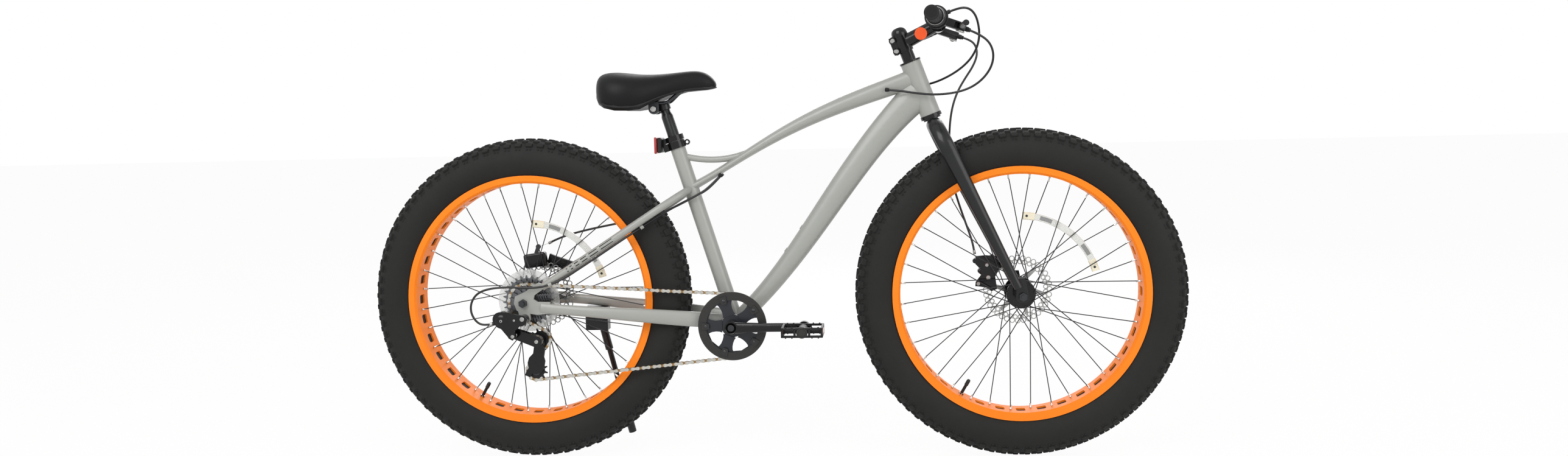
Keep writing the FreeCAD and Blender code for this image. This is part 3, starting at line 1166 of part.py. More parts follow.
chain_solids = []
inner_face = d.chain_inner_half
outer_face = d.chain_inner_half + d.plate_thickness + 0.1
for count in range(links):
    first, last = pins[count], pins[(count + 1) % links]
    if count % 2:
        chain_solids.append(plate_shape(first, last, outer_face))
        chain_solids.append(plate_shape(first, last, -outer_face - d.plate_thickness))
    else:
        link = plate_shape(first, last, inner_face).fuse([
            plate_shape(first, last, -inner_face - d.plate_thickness), roller_shape(first),
            roller_shape(last)])
        chain_solids.append(link)
node("chain", solid("chain", Part.makeCompound(chain_solids)))


def wrapped_phase(centre, radius):
    """Angle of the pin that lies on a wheel, so that a tooth gap can be set there."""
    seated = [pin for pin in pins if abs((pin - centre).Length - radius) < 0.05]
    arm = seated[len(seated) // 2] - centre
    return math.atan2(arm.z, arm.x)


def toothed_edges(teeth, phase):
    """A sprocket's outline about the origin, with a tooth gap at the phase angle."""
    middle = pitch_radius(teeth)
    step = 2 * math.pi / teeth
    root, tip_radius = middle - d.roller_radius - 0.5, middle + 3.2
    points = []
    for tooth in range(int(teeth)):
        for radius, shift in ((root, -0.24), (root, 0.24), (tip_radius, 0.42), (tip_radius, 0.58)):
            angle = phase + (tooth + shift) * step
            points.append((radius * math.cos(angle), radius * math.sin(angle)))
    return points


def toothed_disc(teeth, phase, centre, bore, thickness):
    """A flat toothed wheel centred on a point, with a round bore."""
    base = centre - LEFT * (thickness / 2)
    corners = [base + Vector(x, 0, z) for x, z in toothed_edges(teeth, phase)]
    disc = Part.Face(Part.makePolygon(corners + corners[:1])).extrude(LEFT * thickness)
    return disc.cut(Part.makeCylinder(bore, thickness, base, LEFT))


# Freewheel with seven cogs, and the clear spoke protector behind it.
cog_centre = rear_axle + chain_plane
cog_phase = wrapped_phase(cog_centre, pitch_radius(d.drive_cog_teeth))
cog_bore = d.hub_end_radius + d.running_gap
step_teeth = d.drive_cog_teeth / 10
cluster = []
for place_in, extra in enumerate((4, 2, 1, 0, -1, -2, -3)):
    teeth = round(d.drive_cog_teeth + extra * step_teeth)
    centre = cog_centre + LEFT * ((3 - place_in) * d.cog_spacing)
    cluster.append(toothed_disc(teeth, cog_phase, centre, cog_bore, d.sprocket_thickness))
hub_length = 6 * d.cog_spacing + d.sprocket_thickness + 1
cog_body = Part.makeCylinder(22, hub_length, cog_centre - LEFT * (hub_length / 2), LEFT)
cog_body = cog_body.cut(Part.makeCylinder(cog_bore, hub_length, cog_centre - LEFT * (hub_length / 2), LEFT))
node("freewheel", solid("freewheel", cog_body.fuse(cluster)))
protector_base = rear_axle - LEFT * (d.rear_flange_right + 9.6)
protector = Part.makeCylinder(d.protector_radius, d.protector_thickness, protector_base, LEFT)
node("spoke_protector", solid("spoke_protector", protector.cut(
    Part.makeCylinder(d.hub_end_radius, d.protector_thickness, protector_base, LEFT))))

# Chainring with five windows, and the ring guard riveted outside it.
ring_centre = bracket + chain_plane
ring_phase = wrapped_phase(ring_centre, pitch_radius(d.chainring_teeth))
chainring = body("chainring_body")
ring_face = sketch(chainring, "XZ_Plane", "chainring_outline",
                   polygon(toothed_edges(d.chainring_teeth, ring_phase)) + [circle(d.spindle_radius)])
pad(chainring, "chainring_plate", ring_face, "d.sprocket_thickness", True)
window_points = []
for radius, share in ((27, -0.2), (d.guard_inner, -0.38), (d.guard_inner, 0.0), (d.guard_inner, 0.38),
    (27, 0.2)):
    angle = share * 2 * math.pi / 5
    window_points.append((radius * math.cos(angle), radius * math.sin(angle)))
ring_window = pocket_through(chainring, "chainring_window",
    sketch(chainring, "XZ_Plane", "ring_window_outline",
                                                                   polygon(window_points)))
polar(chainring, "chainring_windows", [ring_window], "Y_Axis", "5")
node("chainring", place(chainring, ring_centre))

guard_base = ring_centre - LEFT * (d.sprocket_thickness / 2)
guard = body("guard_body")
guard_ring = sketch(guard, "XZ_Plane", "guard_outline", [circle(d.guard_radius), circle(d.guard_inner)],
                    FreeCAD.Placement(UP * 3.6, FreeCAD.Rotation()))
pad(guard, "guard_plate", guard_ring, "d.guard_thickness")
rivet_radius = d.guard_inner - 1.5
rivet = sketch(guard, "XZ_Plane", "guard_rivet_outline",
               [circle(6, rivet_radius * math.cos(math.pi / 5), rivet_radius * math.sin(math.pi / 5))])
guard_rivet = pad(guard, "guard_rivet", rivet, "d.guard_thickness + 4.4")
polar(guard, "guard_rivets", [guard_rivet], "Y_Axis", "5")
node("chain_guard", place(guard, guard_base))

# Crank: spindle, two arms half a turn apart, and a pedal axle in each.
arm_half = d.crank_thickness / 2
boss_inner = d.chain_line + d.sprocket_thickness / 2
boss_outer = d.crank_offset + arm_half
spindle = Part.makeCylinder(d.spindle_radius, 2 * boss_outer, bracket - LEFT * boss_outer, LEFT)


def crank_arm_shape(sign):
    """An arm on the right (sign 1, pointing ahead) or on the left (sign -1, pointing back)."""
    side = LEFT * -sign
    ahead = AHEAD * sign
    eye = bracket + ahead * d.crank_length + side * d.crank_offset
    arm = Part.makeLoft([
        oval(bracket + side * d.crank_offset, ahead, LEFT, d.crank_depth / 2, arm_half),
        oval(bracket + side * d.crank_offset + ahead * (0.5 * d.crank_length), ahead, LEFT,
            d.crank_depth / 2 - 3, arm_half),
        oval(eye, ahead, LEFT, d.crank_depth / 2 - 3, arm_half)], True, True)
    boss = Part.makeCylinder(d.crank_boss_radius, boss_outer - boss_inner, bracket + side * boss_inner, side)
    eye_boss = Part.makeCylinder(d.crank_eye_radius, d.crank_thickness, eye - side * arm_half, side)
    made = arm.fuse([boss, eye_boss])
    made = made.cut(Part.makeCylinder(d.spindle_radius, 2 * boss_outer, bracket - LEFT * boss_outer, LEFT))
    return made.cut(Part.makeCylinder(d.pedal_axle_radius, 2 * d.crank_thickness,
        eye - side * d.crank_thickness, side))


def pedal_axle_shape(sign):
    """A pedal axle that starts in the crank's eye and ends inside the pedal."""
    side = LEFT * -sign
    eye = bracket + AHEAD * (sign * d.crank_length) + side * (d.crank_offset - arm_half)
    shaft = Part.makeCylinder(d.pedal_axle_radius, d.crank_thickness + d.pedal_gap + d.pedal_width - 4, eye,
        side)
    return shaft


node("crank_arms", solid("crank_arms", Part.makeCompound([
    spindle, crank_arm_shape(1), crank_arm_shape(-1), pedal_axle_shape(1), pedal_axle_shape(-1)])))


def pedal_shape(sign):
    """A platform pedal: an open frame round a barrel that turns on the axle."""
    side = LEFT * -sign
    near = bracket + AHEAD * (sign * d.crank_length) + side * (d.crank_offset + arm_half + d.pedal_gap)
    middle = near + side * (d.pedal_width / 2)
    frame = Part.makeBox(d.pedal_length, d.pedal_width, d.pedal_height,
                         middle - Vector(d.pedal_length / 2, d.pedal_width / 2, d.pedal_height / 2))
    upright = [edge for edge in frame.Edges if abs(edge.tangentAt(edge.FirstParameter).z) > 0.9]
    frame = frame.makeFillet(8, upright)
    window_length = d.pedal_length / 2 - d.pedal_barrel - d.pedal_wall
    for half in (1, -1):
        corner = middle + AHEAD * (half * (d.pedal_barrel + window_length / 2))
        frame = frame.cut(Part.makeBox(
            window_length, d.pedal_width - 2 * d.pedal_wall, d.pedal_height,
            corner - Vector(window_length / 2, d.pedal_width / 2 - d.pedal_wall, d.pedal_height / 2)))
    bore = Part.makeCylinder(d.pedal_axle_radius + d.running_gap, d.pedal_width - 3, near, side)
    return frame.cut(bore)


node("right_pedal", solid("right_pedal", pedal_shape(1)))
node("left_pedal", solid("left_pedal", pedal_shape(-1)))

# Derailleur: a body on the hanger with a guide pin, a link that shifts along it, the cage and two pulleys.
small_pitch = pitch_radius(d.pulley_teeth)
pulley_width = 2.4
for label, centre in (("guide_pulley", guide), ("tension_pulley", tension)):
    phase = wrapped_phase(centre, small_pitch)
    wheel = toothed_disc(d.pulley_teeth, phase, centre, d.cage_pin_radius + d.running_gap, pulley_width)
    core = Part.makeCylinder(9, 2 * d.cage_half_gap - 2 * d.clear_gap,
                             centre - LEFT * (d.cage_half_gap - d.clear_gap), LEFT)
    core = core.cut(Part.makeCylinder(d.cage_pin_radius + d.running_gap, 30, centre - LEFT * 15, LEFT))
    node(label, solid(label, wheel.fuse(core)))


def bar_plate(first, last, first_radius, last_radius, right, thickness):
    """A flat link with round ends, whose right face is at a given distance from the mid-plane."""
    first, last = Vector(first.x, -right, first.z), Vector(last.x, -right, last.z)
    across = unit(last - first).cross(LEFT)
    corners = [first + across * first_radius, last + across * last_radius, last - across * last_radius,
               first - across * first_radius]
    flat = Part.Face(Part.makePolygon(corners + corners[:1])).extrude(LEFT * thickness)
    return flat.fuse([Part.makeCylinder(first_radius, thickness, first, LEFT),
                      Part.makeCylinder(last_radius, thickness, last, LEFT)])


outer_plate = d.chain_line + d.cage_half_gap + d.cage_plate
cage_plates = [bar_plate(guide, tension, 12, 11, right, d.cage_plate)
               for right in (outer_plate, d.chain_line - d.cage_half_gap)]
guide_hole = Part.makeCylinder(d.cage_pin_radius + d.running_gap, 60, guide - LEFT * 30, LEFT)
cage_bolt = Part.makeCylinder(d.cage_pin_radius, 2 * (d.cage_half_gap + d.cage_plate),
                              tension - LEFT * (d.cage_half_gap + d.cage_plate), LEFT)
bridge_middle = (guide + tension) * 0.5 + unit(tension - guide).cross(LEFT) * 8
cage_bridge = Part.makeCylinder(2, 2 * (d.cage_half_gap + d.cage_plate),
                                bridge_middle - LEFT * (d.cage_half_gap + d.cage_plate), LEFT)
node("derailleur_cage", solid("derailleur_cage",
    cage_plates[0].fuse([cage_plates[1], cage_bolt, cage_bridge]).cut(guide_hole)))

link_inner, link_outer = outer_plate + 14, outer_plate + 32
link_end = guide + Vector(-50, 0, 18)
link = bar_plate(guide, link_end, 13, 11, link_outer, link_outer - link_inner)
link_collar = Part.makeCylinder(8, 14, Vector(guide.x, -link_inner, guide.z), LEFT)
link_collar = link_collar.cut(Part.makeCylinder(8, d.clear_gap,
    Vector(guide.x, -outer_plate - d.clear_gap, guide.z), LEFT))
link_pin = Part.makeCylinder(d.cage_pin_radius, link_outer - d.chain_line + d.cage_half_gap + d.cage_plate,
                             Vector(guide.x, -link_outer, guide.z), LEFT)
slide_hole = Part.makeCylinder(4 + d.running_gap, 80, Vector(link_end.x, -link_outer - 10, link_end.z), LEFT)
node("derailleur_link", solid("derailleur_link", link.fuse([link_collar, link_pin]).cut(slide_hole)))

hanger_bolt = rear_axle + Vector(2, 0, -36)
knuckle_rear = rear_axle + Vector(-46, 0, -32)
hanger_face = rear_face + d.dropout_thickness
cover_right = link_outer + d.shift_travel + 6
cover = bar_plate(hanger_bolt, knuckle_rear, 12, 17, cover_right, 5)
cover_arm = bar_plate(knuckle_rear, link_end, 12, 9, cover_right, 5)
hanger_post = Part.makeCylinder(11, cover_right - hanger_face,
    Vector(hanger_bolt.x, -cover_right, hanger_bolt.z), LEFT)
rear_post = Part.makeCylinder(16, 26, Vector(knuckle_rear.x, -cover_right, knuckle_rear.z), LEFT)
slide_pin = Part.makeCylinder(4, cover_right - outer_plate, Vector(link_end.x, -cover_right, link_end.z),
    LEFT)
adjuster_axis = heading(190)
adjuster_base = Vector(knuckle_rear.x, -cover_right + 15, knuckle_rear.z - 8)
adjuster = Part.makeCylinder(d.barrel_radius, 22, adjuster_base, adjuster_axis)
node("derailleur_body", solid("derailleur_body",
    cover.fuse([cover_arm, hanger_post, rear_post, slide_pin, adjuster])))


# Cables: each route is a list of points, joined by straight runs and tangent arcs.
def cable(name, route):
    """A cable housing along its route; the least bend radius is printed."""
    points = [Vector(*point) for point in route]
    wire = bent_wire(points)
    least = min(edge.Curve.Radius for edge in wire.Edges if hasattr(edge.Curve, "Radius"))
    print(name, "least bend", round(least, 1))
    return solid(name, pipe(points, d.cable_radius))


adjuster_end = adjuster_base + adjuster_axis * 22.3
adjuster_run = adjuster_end + adjuster_axis * 22
barrel_end = barrel_start + barrel_axis * (d.barrel_reach + d.clear_gap)
nozzle_end = shift_exit + shift_aim * (d.barrel_reach - 6 + d.clear_gap)
barrel_run, nozzle_run = barrel_end + barrel_axis * 20, nozzle_end + shift_aim * 22
brake_lead = cable("brake_lead", [
    tuple(barrel_end), tuple(barrel_run), (493, -109, 938), (504, -96, 912), (500, -80, 884),
    (481, -66, 857),
    (452, -53, 838), (415, -43, 829), (373, -37, 827), (332, -33, 832), (299, -29, 838), (270, -21.6, 841)])
shift_lead = cable("shift_lead", [
    tuple(nozzle_end), tuple(nozzle_run), (447, -173, 1005), (461, -152, 993), (469, -126, 974),
    (473, -100, 951),
    (469, -76, 927), (457, -50, 904), (436, -25, 884), (408, 2, 867), (375, 25, 854), (338, 32, 848),
    (303, 29, 845), (272, 21.6, 843)])
node("steering_leads", group("steering_leads", brake_lead, shift_lead))
node("front_brake_cable", cable("front_brake_cable", [
    (barrel_end.x, -barrel_end.y, barrel_end.z), (barrel_run.x, -barrel_run.y, barrel_run.z),
    (480, 114, 940), (482, 110, 918), (471, 108, 892), (453, 106, 866), (436, 103, 838), (424, 99, 807),
    (417, 96, 772),
    (414, 94, 733), (413, 92, 692), (416, 90, 652), (423, 89, 612), (434, 87, 574), (446, 83, 538),
    (457, 77, 506),
    (465, 71, 480), (468, 68, 459)]))
shift_cable = cable("shift_cable", [
    (-112, -11, 657.2), (-140, -18, 628), (-167, -25, 611), (-197, -31, 597), (-230, -43, 580),
    (-264, -58, 560),
    (-300, -71, 537), (-340, -79, 512), (-388, -82, 481), (-434, -84, 452), (-474, -89, 428),
    (-510, -98, 414),
    (-548, -104, 411), (-590, -107, 415), (-634, -109, 413), (-665, -109, 403), (-681, -109, 382),
    (-683, -109, 358),
    (-672, -109, 337), tuple(adjuster_run), tuple(adjuster_end)])
rear_brake_cable = cable("rear_brake_cable", [
    (-112, 11, 657.2), (-140, 18, 628), (-167, 25, 611), (-197, 32, 597), (-230, 46, 581), (-264, 56, 567),
    (-304, 58, 556), (-350, 59, 547), (-398, 63, 538), (-444, 69, 529), (-486, 75, 519), (-522, 79, 508),
    (-545, 80, 497)])
node("frame_cables", group("frame_cables", shift_cable, rear_brake_cable))

# Check every object and write each sub-part's solids.
DOC.recompute()
broken = [obj.Name for obj in DOC.Objects if {"Invalid", "Error"} & set(obj.State)]
broken += [obj.Label for obj in NODES if obj.Shape.isNull() or not obj.Shape.isValid()]
if broken:
    raise RuntimeError("failed objects: " + ", ".join(broken))
os.makedirs("parts", exist_ok=True)
for obj in NODES:
    obj.Shape.exportStep(os.path.join("parts", obj.Label + ".step"))
for label, point in (("pivot", pivot), ("knuckle", knuckle), ("guide", guide), ("tension", tension),
                     ("stand", stand_pivot), ("bar", bar_centre), ("head", head_bottom)):
    print(label, [round(value, 3) for value in point])
print(len(NODES), "nodes")
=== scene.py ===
"""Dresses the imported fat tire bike: finishes, tread, cables, saddle and small fittings, all in metres.

The frame's origin is on the ground midway between the axles. +X points forward, +Y to the rider's left and
+Z up.
"""

from __future__ import annotations

import cmath
import json
import logging
import math
from bisect import bisect
from dataclasses import dataclass
from enum import Enum
from typing import Any, Iterable, Sequence

import bmesh
import bpy
from mathutils import Matrix, Vector

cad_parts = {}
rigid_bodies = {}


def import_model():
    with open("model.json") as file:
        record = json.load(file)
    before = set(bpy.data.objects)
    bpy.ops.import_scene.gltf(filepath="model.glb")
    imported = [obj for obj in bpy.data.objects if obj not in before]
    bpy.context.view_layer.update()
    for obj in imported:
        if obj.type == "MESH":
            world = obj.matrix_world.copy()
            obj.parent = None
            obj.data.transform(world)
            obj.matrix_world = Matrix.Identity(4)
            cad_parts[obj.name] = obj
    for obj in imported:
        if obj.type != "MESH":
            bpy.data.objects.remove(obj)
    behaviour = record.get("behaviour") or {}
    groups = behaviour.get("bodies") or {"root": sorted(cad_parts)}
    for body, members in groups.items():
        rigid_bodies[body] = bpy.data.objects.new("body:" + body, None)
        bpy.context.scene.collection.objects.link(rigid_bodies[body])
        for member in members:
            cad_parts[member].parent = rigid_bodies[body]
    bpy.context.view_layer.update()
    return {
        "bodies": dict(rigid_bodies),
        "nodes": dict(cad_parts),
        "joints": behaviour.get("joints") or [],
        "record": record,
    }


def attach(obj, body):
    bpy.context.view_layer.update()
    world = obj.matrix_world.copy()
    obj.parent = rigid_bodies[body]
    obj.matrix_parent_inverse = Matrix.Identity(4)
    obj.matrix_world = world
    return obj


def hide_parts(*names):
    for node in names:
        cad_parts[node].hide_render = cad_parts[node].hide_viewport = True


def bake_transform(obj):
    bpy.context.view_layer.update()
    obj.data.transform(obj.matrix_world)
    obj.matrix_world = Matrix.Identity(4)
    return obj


LOG = logging.getLogger("bike")
MM = 0.001
AHEAD, LEFT, UP = Vector((1, 0, 0)), Vector((0, 1, 0)), Vector((0, 0, 1))
RIGHT = -LEFT
Profile = Sequence[tuple[float, float]]


class Body(str, Enum):
    """The bodies that pieces ride on."""

    FRAME = "frame"
    STEERING = "steering"
    FRONT_WHEEL = "front_wheel"
    REAR_WHEEL = "rear_wheel"
    CRANKSET = "crankset"
    RIGHT_PEDAL = "right_pedal"
    LEFT_PEDAL = "left_pedal"
    SEAT = "seat"
    POST = "post"
    TWIST = "twist"
    CAGE = "cage"
    LINK = "shifting_link"
    FRONT_ARM = "front_arm"
    REAR_ARM = "rear_arm"


def linear(code: str) -> tuple[float, float, float, float]:
    """Turns an sRGB hex value into a linear colour.

    Args:
        code: Six hex digits with a leading hash.

    Returns:
        Red, green, blue and an alpha of one.
    """
    parts = [int(code[at:at + 2], 16) / 255 for at in (1, 3, 5)]
    low = [part / 12.92 if part <= 0.04045 else ((part + 0.055) / 1.055) ** 2.4 for part in parts]
    return low[0], low[1], low[2], 1.0


def mm(x: float, y: float, z: float) -> Vector:
    """A point or step given in millimetres.

    Args:
        x: Forward.
        y: To the left.
        z: Up.

    Returns:
        The same in metres.
    """
    return Vector((x, y, z)) * MM


def add(tree: bpy.types.NodeTree, kind: str, inputs: dict[str | int, Any] | None = None,
        **settings: Any) -> bpy.types.Node:
    """Adds a node with its settings, and sets or links its inputs.

    Args:
        tree: The node tree that gets the node.
        kind: The node's type name.
        inputs: Values or output sockets, by the input's name or place.
        settings: The node's own properties.

    Returns:
        The new node.
    """
    node = tree.nodes.new(kind)
    for name, value in settings.items():
        setattr(node, name, value)
    for name, value in (inputs or {}).items():
        if isinstance(value, bpy.types.NodeSocket):
            tree.links.new(value, node.inputs[name])
        else:
            node.inputs[name].default_value = value
    return node


def put(name: str, data: bpy.types.ID) -> bpy.types.Object:
    """Stands an object in the scene.

    Args:
        name: The object's name.
        data: Its mesh, curve, lamp or camera.

    Returns:
        The object.
    """
    made = bpy.data.objects.new(name, data)
    bpy.context.scene.collection.objects.link(made)
    return made


class Texture(Enum):
    """How a surface was made, which gives its relief."""

    SPRAYED = "sprayed"
    MOULDED = "moulded"
    BRUSHED = "brushed"
    CAST = "cast"
    GRAINED = "grained"
    PRISM = "prism"


@dataclass(frozen=True)
class Finish:
    """A real surface: its colours, gloss and relief, with pattern sizes in millimetres."""

    label: str
    colour: str
    roughness: float
    texture: Texture
    shade: str = ""
    metallic: float = 0.0
    ior: float = 1.5
    relief_mm: float = 1.0
    depth_mm: float = 0.02
    blotch_mm: float = 60.0
    spread: float = 0.06
    grime_mm: float = 12.0
    coat: float = 0.0
    coat_roughness: float = 0.08
    clear: float = 0.0
    sheen: float = 0.5

    def material(self) -> bpy.types.Material:
        """Builds the material once and hands it out after that.

        Returns:
            The material.
        """
        known = bpy.data.materials.get(self.label)
        if known:
            return known
        made = bpy.data.materials.new(self.label)
        made.use_nodes = True
        tree = made.node_tree
        tree.nodes.clear()
        place = add(tree, "ShaderNodeTexCoord").outputs["Object"]
        blotch = add(tree, "ShaderNodeTexNoise", {"Vector": place, "Scale": 1 / (self.blotch_mm * MM),
                                                  "Detail": 4.0})
        shade = linear(self.shade or self.colour)
        tone = add(tree, "ShaderNodeMix", {"Factor": blotch.outputs["Fac"], 6: linear(self.colour), 7: shade},
                   data_type="RGBA")
        grime = add(tree, "ShaderNodeTexNoise", {"Vector": place, "Scale": 1 / (self.grime_mm * MM),
                                                 "Detail": 3.0})
        gloss = add(tree, "ShaderNodeMapRange", {
            "Value": grime.outputs["Fac"], "To Min": self.roughness - self.spread,
            "To Max": self.roughness + self.spread})
        relief = self.relief(tree, place)
        bump = add(tree, "ShaderNodeBump", {"Height": relief, "Strength": 1.0,
                                            "Distance": self.depth_mm * MM})
        shader = add(tree, "ShaderNodeBsdfPrincipled", {
            "Base Color": tone.outputs[2], "Roughness": gloss.outputs["Result"], "Metallic": self.metallic,
            "IOR": self.ior, "Normal": bump.outputs["Normal"], "Coat Weight": self.coat,
            "Coat Roughness": self.coat_roughness, "Transmission Weight": self.clear,
            "Specular IOR Level": self.sheen})
        add(tree, "ShaderNodeOutputMaterial", {"Surface": shader.outputs["BSDF"]})
        return made

    def relief(self, tree: bpy.types.NodeTree, place: bpy.types.NodeSocket) -> bpy.types.NodeSocket:
        """Adds the pattern that the making of the surface leaves.

        Args:
            tree: The material's tree.
            place: Object coordinates.

        Returns:
            The height of the relief, from 0 to 1.
        """
        scale = 1 / (self.relief_mm * MM)
        if self.texture is Texture.BRUSHED:
            lines = add(tree, "ShaderNodeMapping", {"Vector": place, "Scale": (scale * 0.05, scale, scale)})
            scratches = add(tree, "ShaderNodeTexNoise", {"Vector": lines.outputs["Vector"], "Scale": 1.0})
            return scratches.outputs["Fac"]
        if self.texture is Texture.GRAINED:
            cells = add(tree, "ShaderNodeTexVoronoi", {"Vector": place, "Scale": scale}, feature="SMOOTH_F1")
            return cells.outputs["Distance"]
        if self.texture is Texture.PRISM:
            cells = add(tree, "ShaderNodeTexVoronoi", {"Vector": place, "Scale": scale, "Randomness": 0.0})
            return cells.outputs["Distance"]
        detail = {Texture.SPRAYED: 1.0, Texture.MOULDED: 6.0, Texture.CAST: 3.0}[self.texture]
        grain = add(tree, "ShaderNodeTexNoise", {"Vector": place, "Scale": scale, "Detail": detail})
        return grain.outputs["Fac"]


# Powder coat: satin, with a faint orange peel that softens its highlights.
FRAME_GREY = Finish("satin_grey_powder_coat", "#9FA09B", 0.36, Texture.SPRAYED, "#9A9B96", relief_mm=2.2,
                    depth_mm=0.004, coat=0.15)
FORK_BLACK = Finish("black_powder_coat", "#161718", 0.32, Texture.SPRAYED, "#1B1C1D", relief_mm=2.0,
                    depth_mm=0.02, coat=0.2, sheen=0.25)
# Gloss enamel: deep black with sharp highlights.
GLOSS_BLACK = Finish("gloss_black_enamel", "#0D0D0E", 0.18, Texture.SPRAYED, "#121213", relief_mm=3.0,
                     depth_mm=0.01, coat=0.25, sheen=0.2)
# Satin enamel on the rims: a strong orange with broad, soft highlights.
RIM_ORANGE = Finish("satin_orange_enamel", "#FF8A26", 0.38, Texture.SPRAYED, "#F98322", relief_mm=2.4,
                    depth_mm=0.004, sheen=0.12)
# Moulded rubber: matt, nearly black, with a dusty bloom in patches.
TYRE_RUBBER = Finish("moulded_tyre_rubber", "#1E1E1D", 0.66, Texture.MOULDED, "#262625", relief_mm=1.5,
                     depth_mm=0.05, blotch_mm=90.0, sheen=0.2)
GRIP_RUBBER = Finish("grip_rubber", "#18181A", 0.6, Texture.MOULDED, "#1D1D1D", relief_mm=0.8, depth_mm=0.05,
                     sheen=0.25)
# Glass-filled nylon: dull black with the fine spark texture of its mould.
BLACK_PLASTIC = Finish("black_nylon", "#111112", 0.42, Texture.MOULDED, "#161617", relief_mm=0.7,
                       depth_mm=0.03, sheen=0.35)
GUARD_PLASTIC = Finish("dark_grey_abs", "#262524", 0.4, Texture.MOULDED, "#2D2C2B", relief_mm=0.7,
                       depth_mm=0.02, sheen=0.35)
CABLE_PLASTIC = Finish("black_cable_housing", "#101011", 0.35, Texture.SPRAYED, "#151516", relief_mm=1.2,
                       depth_mm=0.01)
# Electrophoretic black on the chainring: blue-black and satin.
RING_BLACK = Finish("blue_black_steel", "#1E2127", 0.34, Texture.SPRAYED, "#23262C", relief_mm=1.4,
                    depth_mm=0.01, sheen=0.4)
# Bare and plated metals: brushed steel, dark oxide, cast alloy and chain plate with a bronze tinge.
STEEL = Finish("brushed_steel", "#B4B4B2", 0.3, Texture.BRUSHED, "#A2A2A0", metallic=1.0, relief_mm=0.4,
               depth_mm=0.01)
BRIGHT_STEEL = Finish("nickel_plate", "#D2D2CF", 0.2, Texture.BRUSHED, "#C2C2BF", metallic=1.0, relief_mm=0.4,
                      depth_mm=0.005)
DARK_STEEL = Finish("dark_oxide_steel", "#4A4B4D", 0.36, Texture.BRUSHED, "#3E3F41", metallic=1.0,
                    relief_mm=0.5, depth_mm=0.01)
SPOKE_STEEL = Finish("black_spoke_steel", "#3A3A3C", 0.3, Texture.BRUSHED, "#333335", metallic=0.8,
                     relief_mm=0.5, depth_mm=0.005)
CAST_ALLOY = Finish("cast_alloy", "#B9BAB8", 0.36, Texture.CAST, "#A9AAA8", metallic=0.9, relief_mm=1.2,
                    depth_mm=0.03)
CHAIN_STEEL = Finish("nickel_chain_plate", "#CFCDC7", 0.22, Texture.BRUSHED, "#BDBBB4", metallic=1.0,
                     relief_mm=0.5, depth_mm=0.01)
CHAIN_BRONZE = Finish("bronze_chain_plate", "#A98B62", 0.28, Texture.BRUSHED, "#8A6F4B", metallic=1.0,
                      relief_mm=0.5, depth_mm=0.01)
COG_STEEL = Finish("zinc_cog", "#77787A", 0.34, Texture.BRUSHED, "#5E5F62", metallic=1.0, relief_mm=0.5,
                   depth_mm=0.01)
# Moulded clear and coloured plastics of the reflectors and the spoke protector.
CLEAR_PLASTIC = Finish("clear_polycarbonate", "#F2F3F1", 0.16, Texture.SPRAYED, "#E9EAE8", ior=1.58,
                       relief_mm=4.0, depth_mm=0.02, clear=0.75)
RED_LENS = Finish("red_reflector", "#B8100C", 0.14, Texture.PRISM, "#8E0A08", relief_mm=2.2, depth_mm=0.5,
                  coat=0.6)
CREAM_PLASTIC = Finish("cream_polypropylene", "#E9E2CC", 0.4, Texture.MOULDED, "#E2DAC2", relief_mm=1.0,
                       depth_mm=0.02)
WHITE_LENS = Finish("clear_reflector", "#EDEEEA", 0.18, Texture.PRISM, "#DADBD7", relief_mm=2.4,
                    depth_mm=0.35, coat=0.5, clear=0.2)
GREY_LENS = Finish("grey_reflector_panel", "#8F9190", 0.22, Texture.PRISM, "#7B7D7C", relief_mm=1.6,
                   depth_mm=0.3, coat=0.5)
AMBER_LENS = Finish("amber_reflector", "#F07A1C", 0.16, Texture.PRISM, "#C9530E", relief_mm=1.8,
                    depth_mm=0.4, coat=0.6)
# Printed and stuck marks: flat black ink and a plain orange disc.
BLACK_INK = Finish("black_ink", "#0B0B0C", 0.45, Texture.SPRAYED, "#0E0E0F", relief_mm=2.0, depth_mm=0.005)
ORANGE_DISC = Finish("orange_vinyl", "#F4591B", 0.4, Texture.SPRAYED, "#EF5418", relief_mm=2.0,
                     depth_mm=0.005)
# Vinyl saddle cover: satin with a fine leather grain.
SADDLE_VINYL = Finish("saddle_vinyl", "#101012", 0.46, Texture.GRAINED, "#151517", relief_mm=1.6,
                      depth_mm=0.06, sheen=0.18)

NODE_FINISHES: dict[Finish, tuple[str, ...]] = {
    FRAME_GREY: ("head_tube", "top_tube", "down_tube", "seat_tube", "chain_stays", "seat_stays"),
    FORK_BLACK: ("fork", "seat_post", "kickstand", "kickstand_bracket"),
    GLOSS_BLACK: ("bearing_cups", "seat_collar", "headset_spacer", "stem", "handlebar", "front_hub",
                  "rear_hub", "crank_arms", "derailleur_body", "derailleur_link", "front_caliper",
                  "rear_caliper"),
    RIM_ORANGE: ("front_rim", "rear_rim"),
    TYRE_RUBBER: ("front_tire", "rear_tire", "front_inner_tube", "rear_inner_tube"),
    GRIP_RUBBER: ("grips", "twist_grip"),
    BLACK_PLASTIC: ("bar_controls", "right_brake_lever", "left_brake_lever", "right_pedal", "left_pedal",
                    "guide_pulley", "tension_pulley"),
    GUARD_PLASTIC: ("chain_guard",),
    CABLE_PLASTIC: ("frame_cables", "steering_leads", "front_brake_cable"),
    STEEL: ("front_rotor", "rear_rotor", "stem_bolts"),
    DARK_STEEL: ("rear_axle", "front_axle", "front_caliper_arm", "rear_caliper_arm", "derailleur_cage",
                 "saddle_rails"),
    SPOKE_STEEL: ("front_spokes", "rear_spokes"),
    CHAIN_STEEL: ("chain",),
    COG_STEEL: ("freewheel",),
    RING_BLACK: ("chainring",),
    CLEAR_PLASTIC: ("spoke_protector", "front_spoke_reflector", "rear_spoke_reflector"),
    RED_LENS: ("rear_reflector",),
    SADDLE_VINYL: ("saddle",),
}


